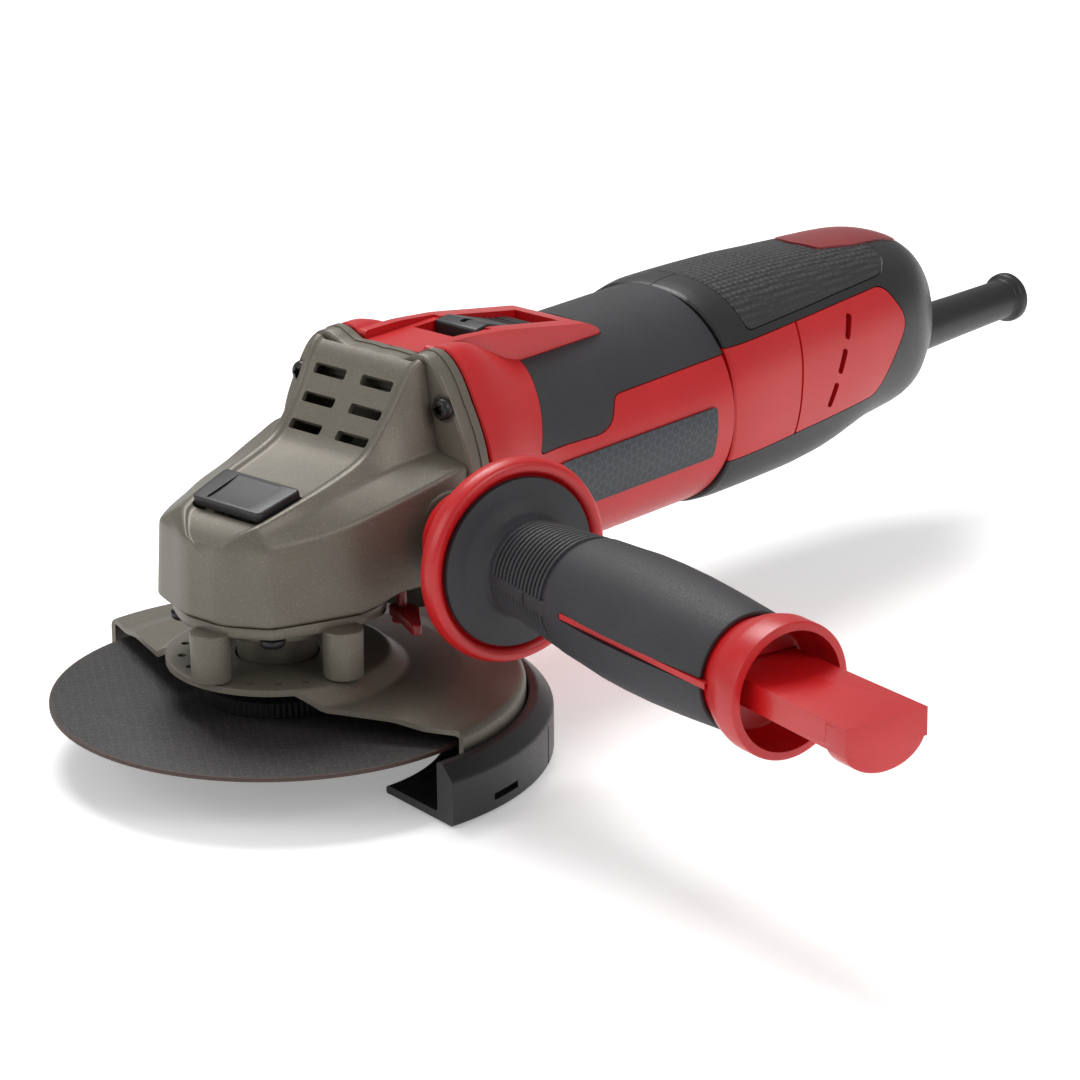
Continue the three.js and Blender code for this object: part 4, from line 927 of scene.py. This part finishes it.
def side_handle():
    core = soften([(0, -26.7), (13, -26.7), (14, -8), (26, -6.5), (28, -4.6), (28.3, -1.8), (27.4, 0.6),
                   (25.6, 1),
                   (24.2, 0), (23.6, -1.6), (14, 0), (9.6, 1.5), (9.6, 14), (12, 24), (14.4, 36),
                   (14.4, 101.3),
                   (16.8, 106), (17.9, 110), (17.9, 117), (0, 117)], 0.8, 3, closed=False)
    body = lathe("handle_frame", core, "X")
    for side in (-1, 1):
        low, high = sorted((side * 12, side * 16.6))
        join(body, block("rib", SLIT["from"] + 0.4, SLIT["to"] + 3, low, high, 0.2, 1.8))
    mouth = soften([(0, 104), (13.6, 104), (15.6, 109), (15.6, 130), (0, 130)], 0.8, 3, closed=False)
    cut(body, rod("stud_way", 4.2, -40, 18, "X"), lathe("mouth", mouth, "X"), *key_slot())
    put(on_handle(body), "tool_body", ["handle_core"], "red")
    profile = [(9.9, 1.8), (14, 0.4), (23.2, -1.2), (23.2, 0.8), (18, 1.6), (14.4, 3.2), (13.1, 5.6)]
    for groove in range(14):
        x, r = 7.0 + groove * 1.85, 13.35 + groove * 0.185
        profile += [(r, x), (r, x + 1.0), (r - 0.85, x + 1.15), (r - 0.85, x + 1.6)]
    profile += [(16.2, 35), (16.8, 44), (17.5, 53), (17.7, 62), (17.6, 72), (17.2, 81), (16.8, 88),
                (16.3, 95),
                (15.9, 101), (14.7, 101), (14.7, 36), (12.3, 24), (9.9, 14.2)]

    def strip(angle, radius, height):
        full = 13.35 + (height - 7) / 1.85 * 0.185 + 0.05
        beside = min(abs(angle - math.pi), abs(angle - TAU), angle)
        return max(full - radius,
                   0) if 6.9 < height < 33.5 and radius > 11 and beside < math.radians(8) else 0

    grip = lathe("grip_sleeve", soften(profile, 0.5, 2), "X", 180, strip)
    for side in (-1, 1):
        low, high = sorted((side * 12, side * 20))
        slit = soften([(SLIT["from"], -0.1), (SLIT["to"] + 3, -0.1), (SLIT["to"] + 3, 2.1),
                       (SLIT["from"], 2.1)], 1.0)
        cut(grip, prism_front(slit, low, high))
    put(on_handle(grip), "tool_body", ["handle_grip"], "rubber")


def prism_front(outline, low, high):
    """An outline of (x, z) drawn out along Y."""
    return prism("slit", outline, low, high, "Y")


def spanner_key():
    outline = [(62, -9), (85, -9), (85, -11.4), (118, -11.6), (154, -12.6), (154, 12.6), (118, 11.6),
               (85, 11.4),
               (85, 9), (62, 9)]
    bar = bevel(prism("key_bar", soften(outline, [3, 0.5, 1, 4, 0.01, 0.01, 4, 1, 0.5, 3], 4), -2.4, 5),
                0.5, 3)
    cap = [(12.6, 4.5), (-12.6, 4.5)] + [polar(1, 180 + i * 7.5) for i in range(25)]
    cap = cap[:2] + [(a * 12.6, b * 9) for a, b in cap[2:]]
    join(bar, bevel(prism("key_cap", cap, KEY["bar"], KEY["end"], "X"), 0.7, 3))
    join(bar, *[rod("key_pin", 2.1, -2.3, 4.9, centre=(68, y)) for y in (-6, 6)])
    put(on_handle(bar), "key", ["spanner_key"], "red_steel")


# ------------------------------------------------------------------ fixings and plain nodes
def screws():
    for i, spot in enumerate(HEAD_SCREWS):
        screw = torx_screw(f"head_screw_{i + 1}_fine", spot, "Y", FLANGE_Y + 0.2, -1)
        put(screw, "tool_body", [f"head_screw_{i + 1}"], "dark_steel")
    for i, spot in enumerate(COVER_SCREWS):
        screw = torx_screw(f"cover_screw_{i + 1}_fine", spot, "Z", COVER_BOTTOM - 0.2, -1, 3.6)
        put(screw, "tool_body", [f"cover_screw_{i + 1}"], "dark_steel")
    for i, spot in enumerate(SHELL_SCREWS):
        screw = torx_screw(f"shell_screw_{i + 1}_fine", spot, "X", -15.9, -1, 3.4)
        put(screw, "tool_body", [f"shell_screw_{i + 1}"], "dark_steel")


def guard_lever():
    outline = [(-3.4, -2), (2, -3.6), (13.5, -10), (15, -8), (4, 2.6), (-2, 3.4)]
    arm = bevel(prism("lever_arm", soften(outline, 1.2, 4), 30.4, 33.4), 0.4, 3)
    pivot = soften([(0, 29), (2.8, 29), (2.8, 30.6), (1.4, 31), (1.4, 40.2), (0, 40.2)], 0.3, 3,
                   closed=False)
    put(moved(join(arm, lathe("pivot", pivot, steps=40)), None, (25, 23, 0)), "guard_release",
        ["guard_lever"], "red_dark")


def plain_nodes():
    """Pieces shut inside the tool keep their CAD shape and take the better finishes."""
    slots = {part["node"]: part["material_slot"] for part in frame["record"]["subparts"]}
    for name, node in frame["nodes"].items():
        if node.hide_render:
            continue
        node.data.materials.clear()
        node.data.materials.append(FINISH[slots[name]])


gear_housing()
bearing_cover()
spindle_end()
spindle_lock()
guard()
motor_housing()
slide_switch()
rear_grip()
strain_relief()
side_handle()
spanner_key()
screws()
guard_lever()
plain_nodes()


# ------------------------------------------------------------------ studio
def area(name, place, aim, size, power, colour=(1, 1, 1)):
    data = bpy.data.lights.new(name, "AREA")
    data.shape = "RECTANGLE"
    data.size, data.size_y = size
    data.energy = power
    data.color = colour
    lamp = bpy.data.objects.new(name, data)
    lamp.location = place
    lamp.rotation_euler = (Vector(aim) - Vector(place)).to_track_quat("-Z", "Y").to_euler()
    bpy.context.scene.collection.objects.link(lamp)


def studio():
    low = cad_box[0][2] - 0.0006
    mesh = bpy.data.meshes.new("floor")
    mesh.from_pydata([(-6, -6, low), (6, -6, low), (6, 6, low), (-6, 6, low)], [], [(0, 1, 2, 3)])
    floor = bpy.data.objects.new("floor", mesh)
    bpy.context.scene.collection.objects.link(floor)
    white = finish("floor", (0.93, 0.93, 0.93), 0.7, 0, 40, 0.0, 0.01)
    glow = white.node_tree.nodes["Principled BSDF"]
    glow.inputs["Emission Color"].default_value = (1, 1, 1, 1)
    glow.inputs["Emission Strength"].default_value = 0.28
    mesh.materials.append(white)
    world = bpy.data.worlds.new("studio")
    world.use_nodes = True
    backdrop = world.node_tree.nodes["Background"]
    backdrop.inputs["Color"].default_value = (1, 1, 1, 1)
    backdrop.inputs["Strength"].default_value = 0.42
    bpy.context.scene.world = world
    middle = (0.04, 0.1, 0.05)
    area("key", (-0.55, 0.35, 1.25), middle, (0.7, 0.7), 15)
    area("front", (-0.5, -1.1, 0.7), middle, (0.8, 0.8), 5)
    area("side", (1.3, 0.1, 0.9), middle, (0.7, 0.7), 7)
    bpy.context.scene.view_settings.view_transform = "Standard"


CAMERA = {"place": (0.817667, -0.804255, 0.455572), "azimuth": 41.892, "elevation": 19.426, "roll": -0.576,
          "lens": 150}


def camera():
    data = bpy.data.cameras.new("camera")
    data.sensor_width = 36
    data.lens = CAMERA["lens"]
    data.clip_start = 0.05
    data.clip_end = 20
    lens = bpy.data.objects.new("camera", data)
    azimuth, elevation, roll = (math.radians(CAMERA[key]) for key in ("azimuth", "elevation", "roll"))
    right = Vector((math.cos(azimuth), math.sin(azimuth), 0))
    back = Vector((math.sin(azimuth) * math.cos(elevation), -math.cos(azimuth) * math.cos(elevation),
                   math.sin(elevation)))
    up = back.cross(right)
    across = right * math.cos(roll) + up * math.sin(roll)
    upward = up * math.cos(roll) - right * math.sin(roll)
    turn = Matrix((across, upward, back)).transposed().to_4x4()
    lens.matrix_world = Matrix.Translation(Vector(CAMERA["place"])) @ turn
    bpy.context.scene.collection.objects.link(lens)
    bpy.context.scene.camera = lens


studio()
camera()
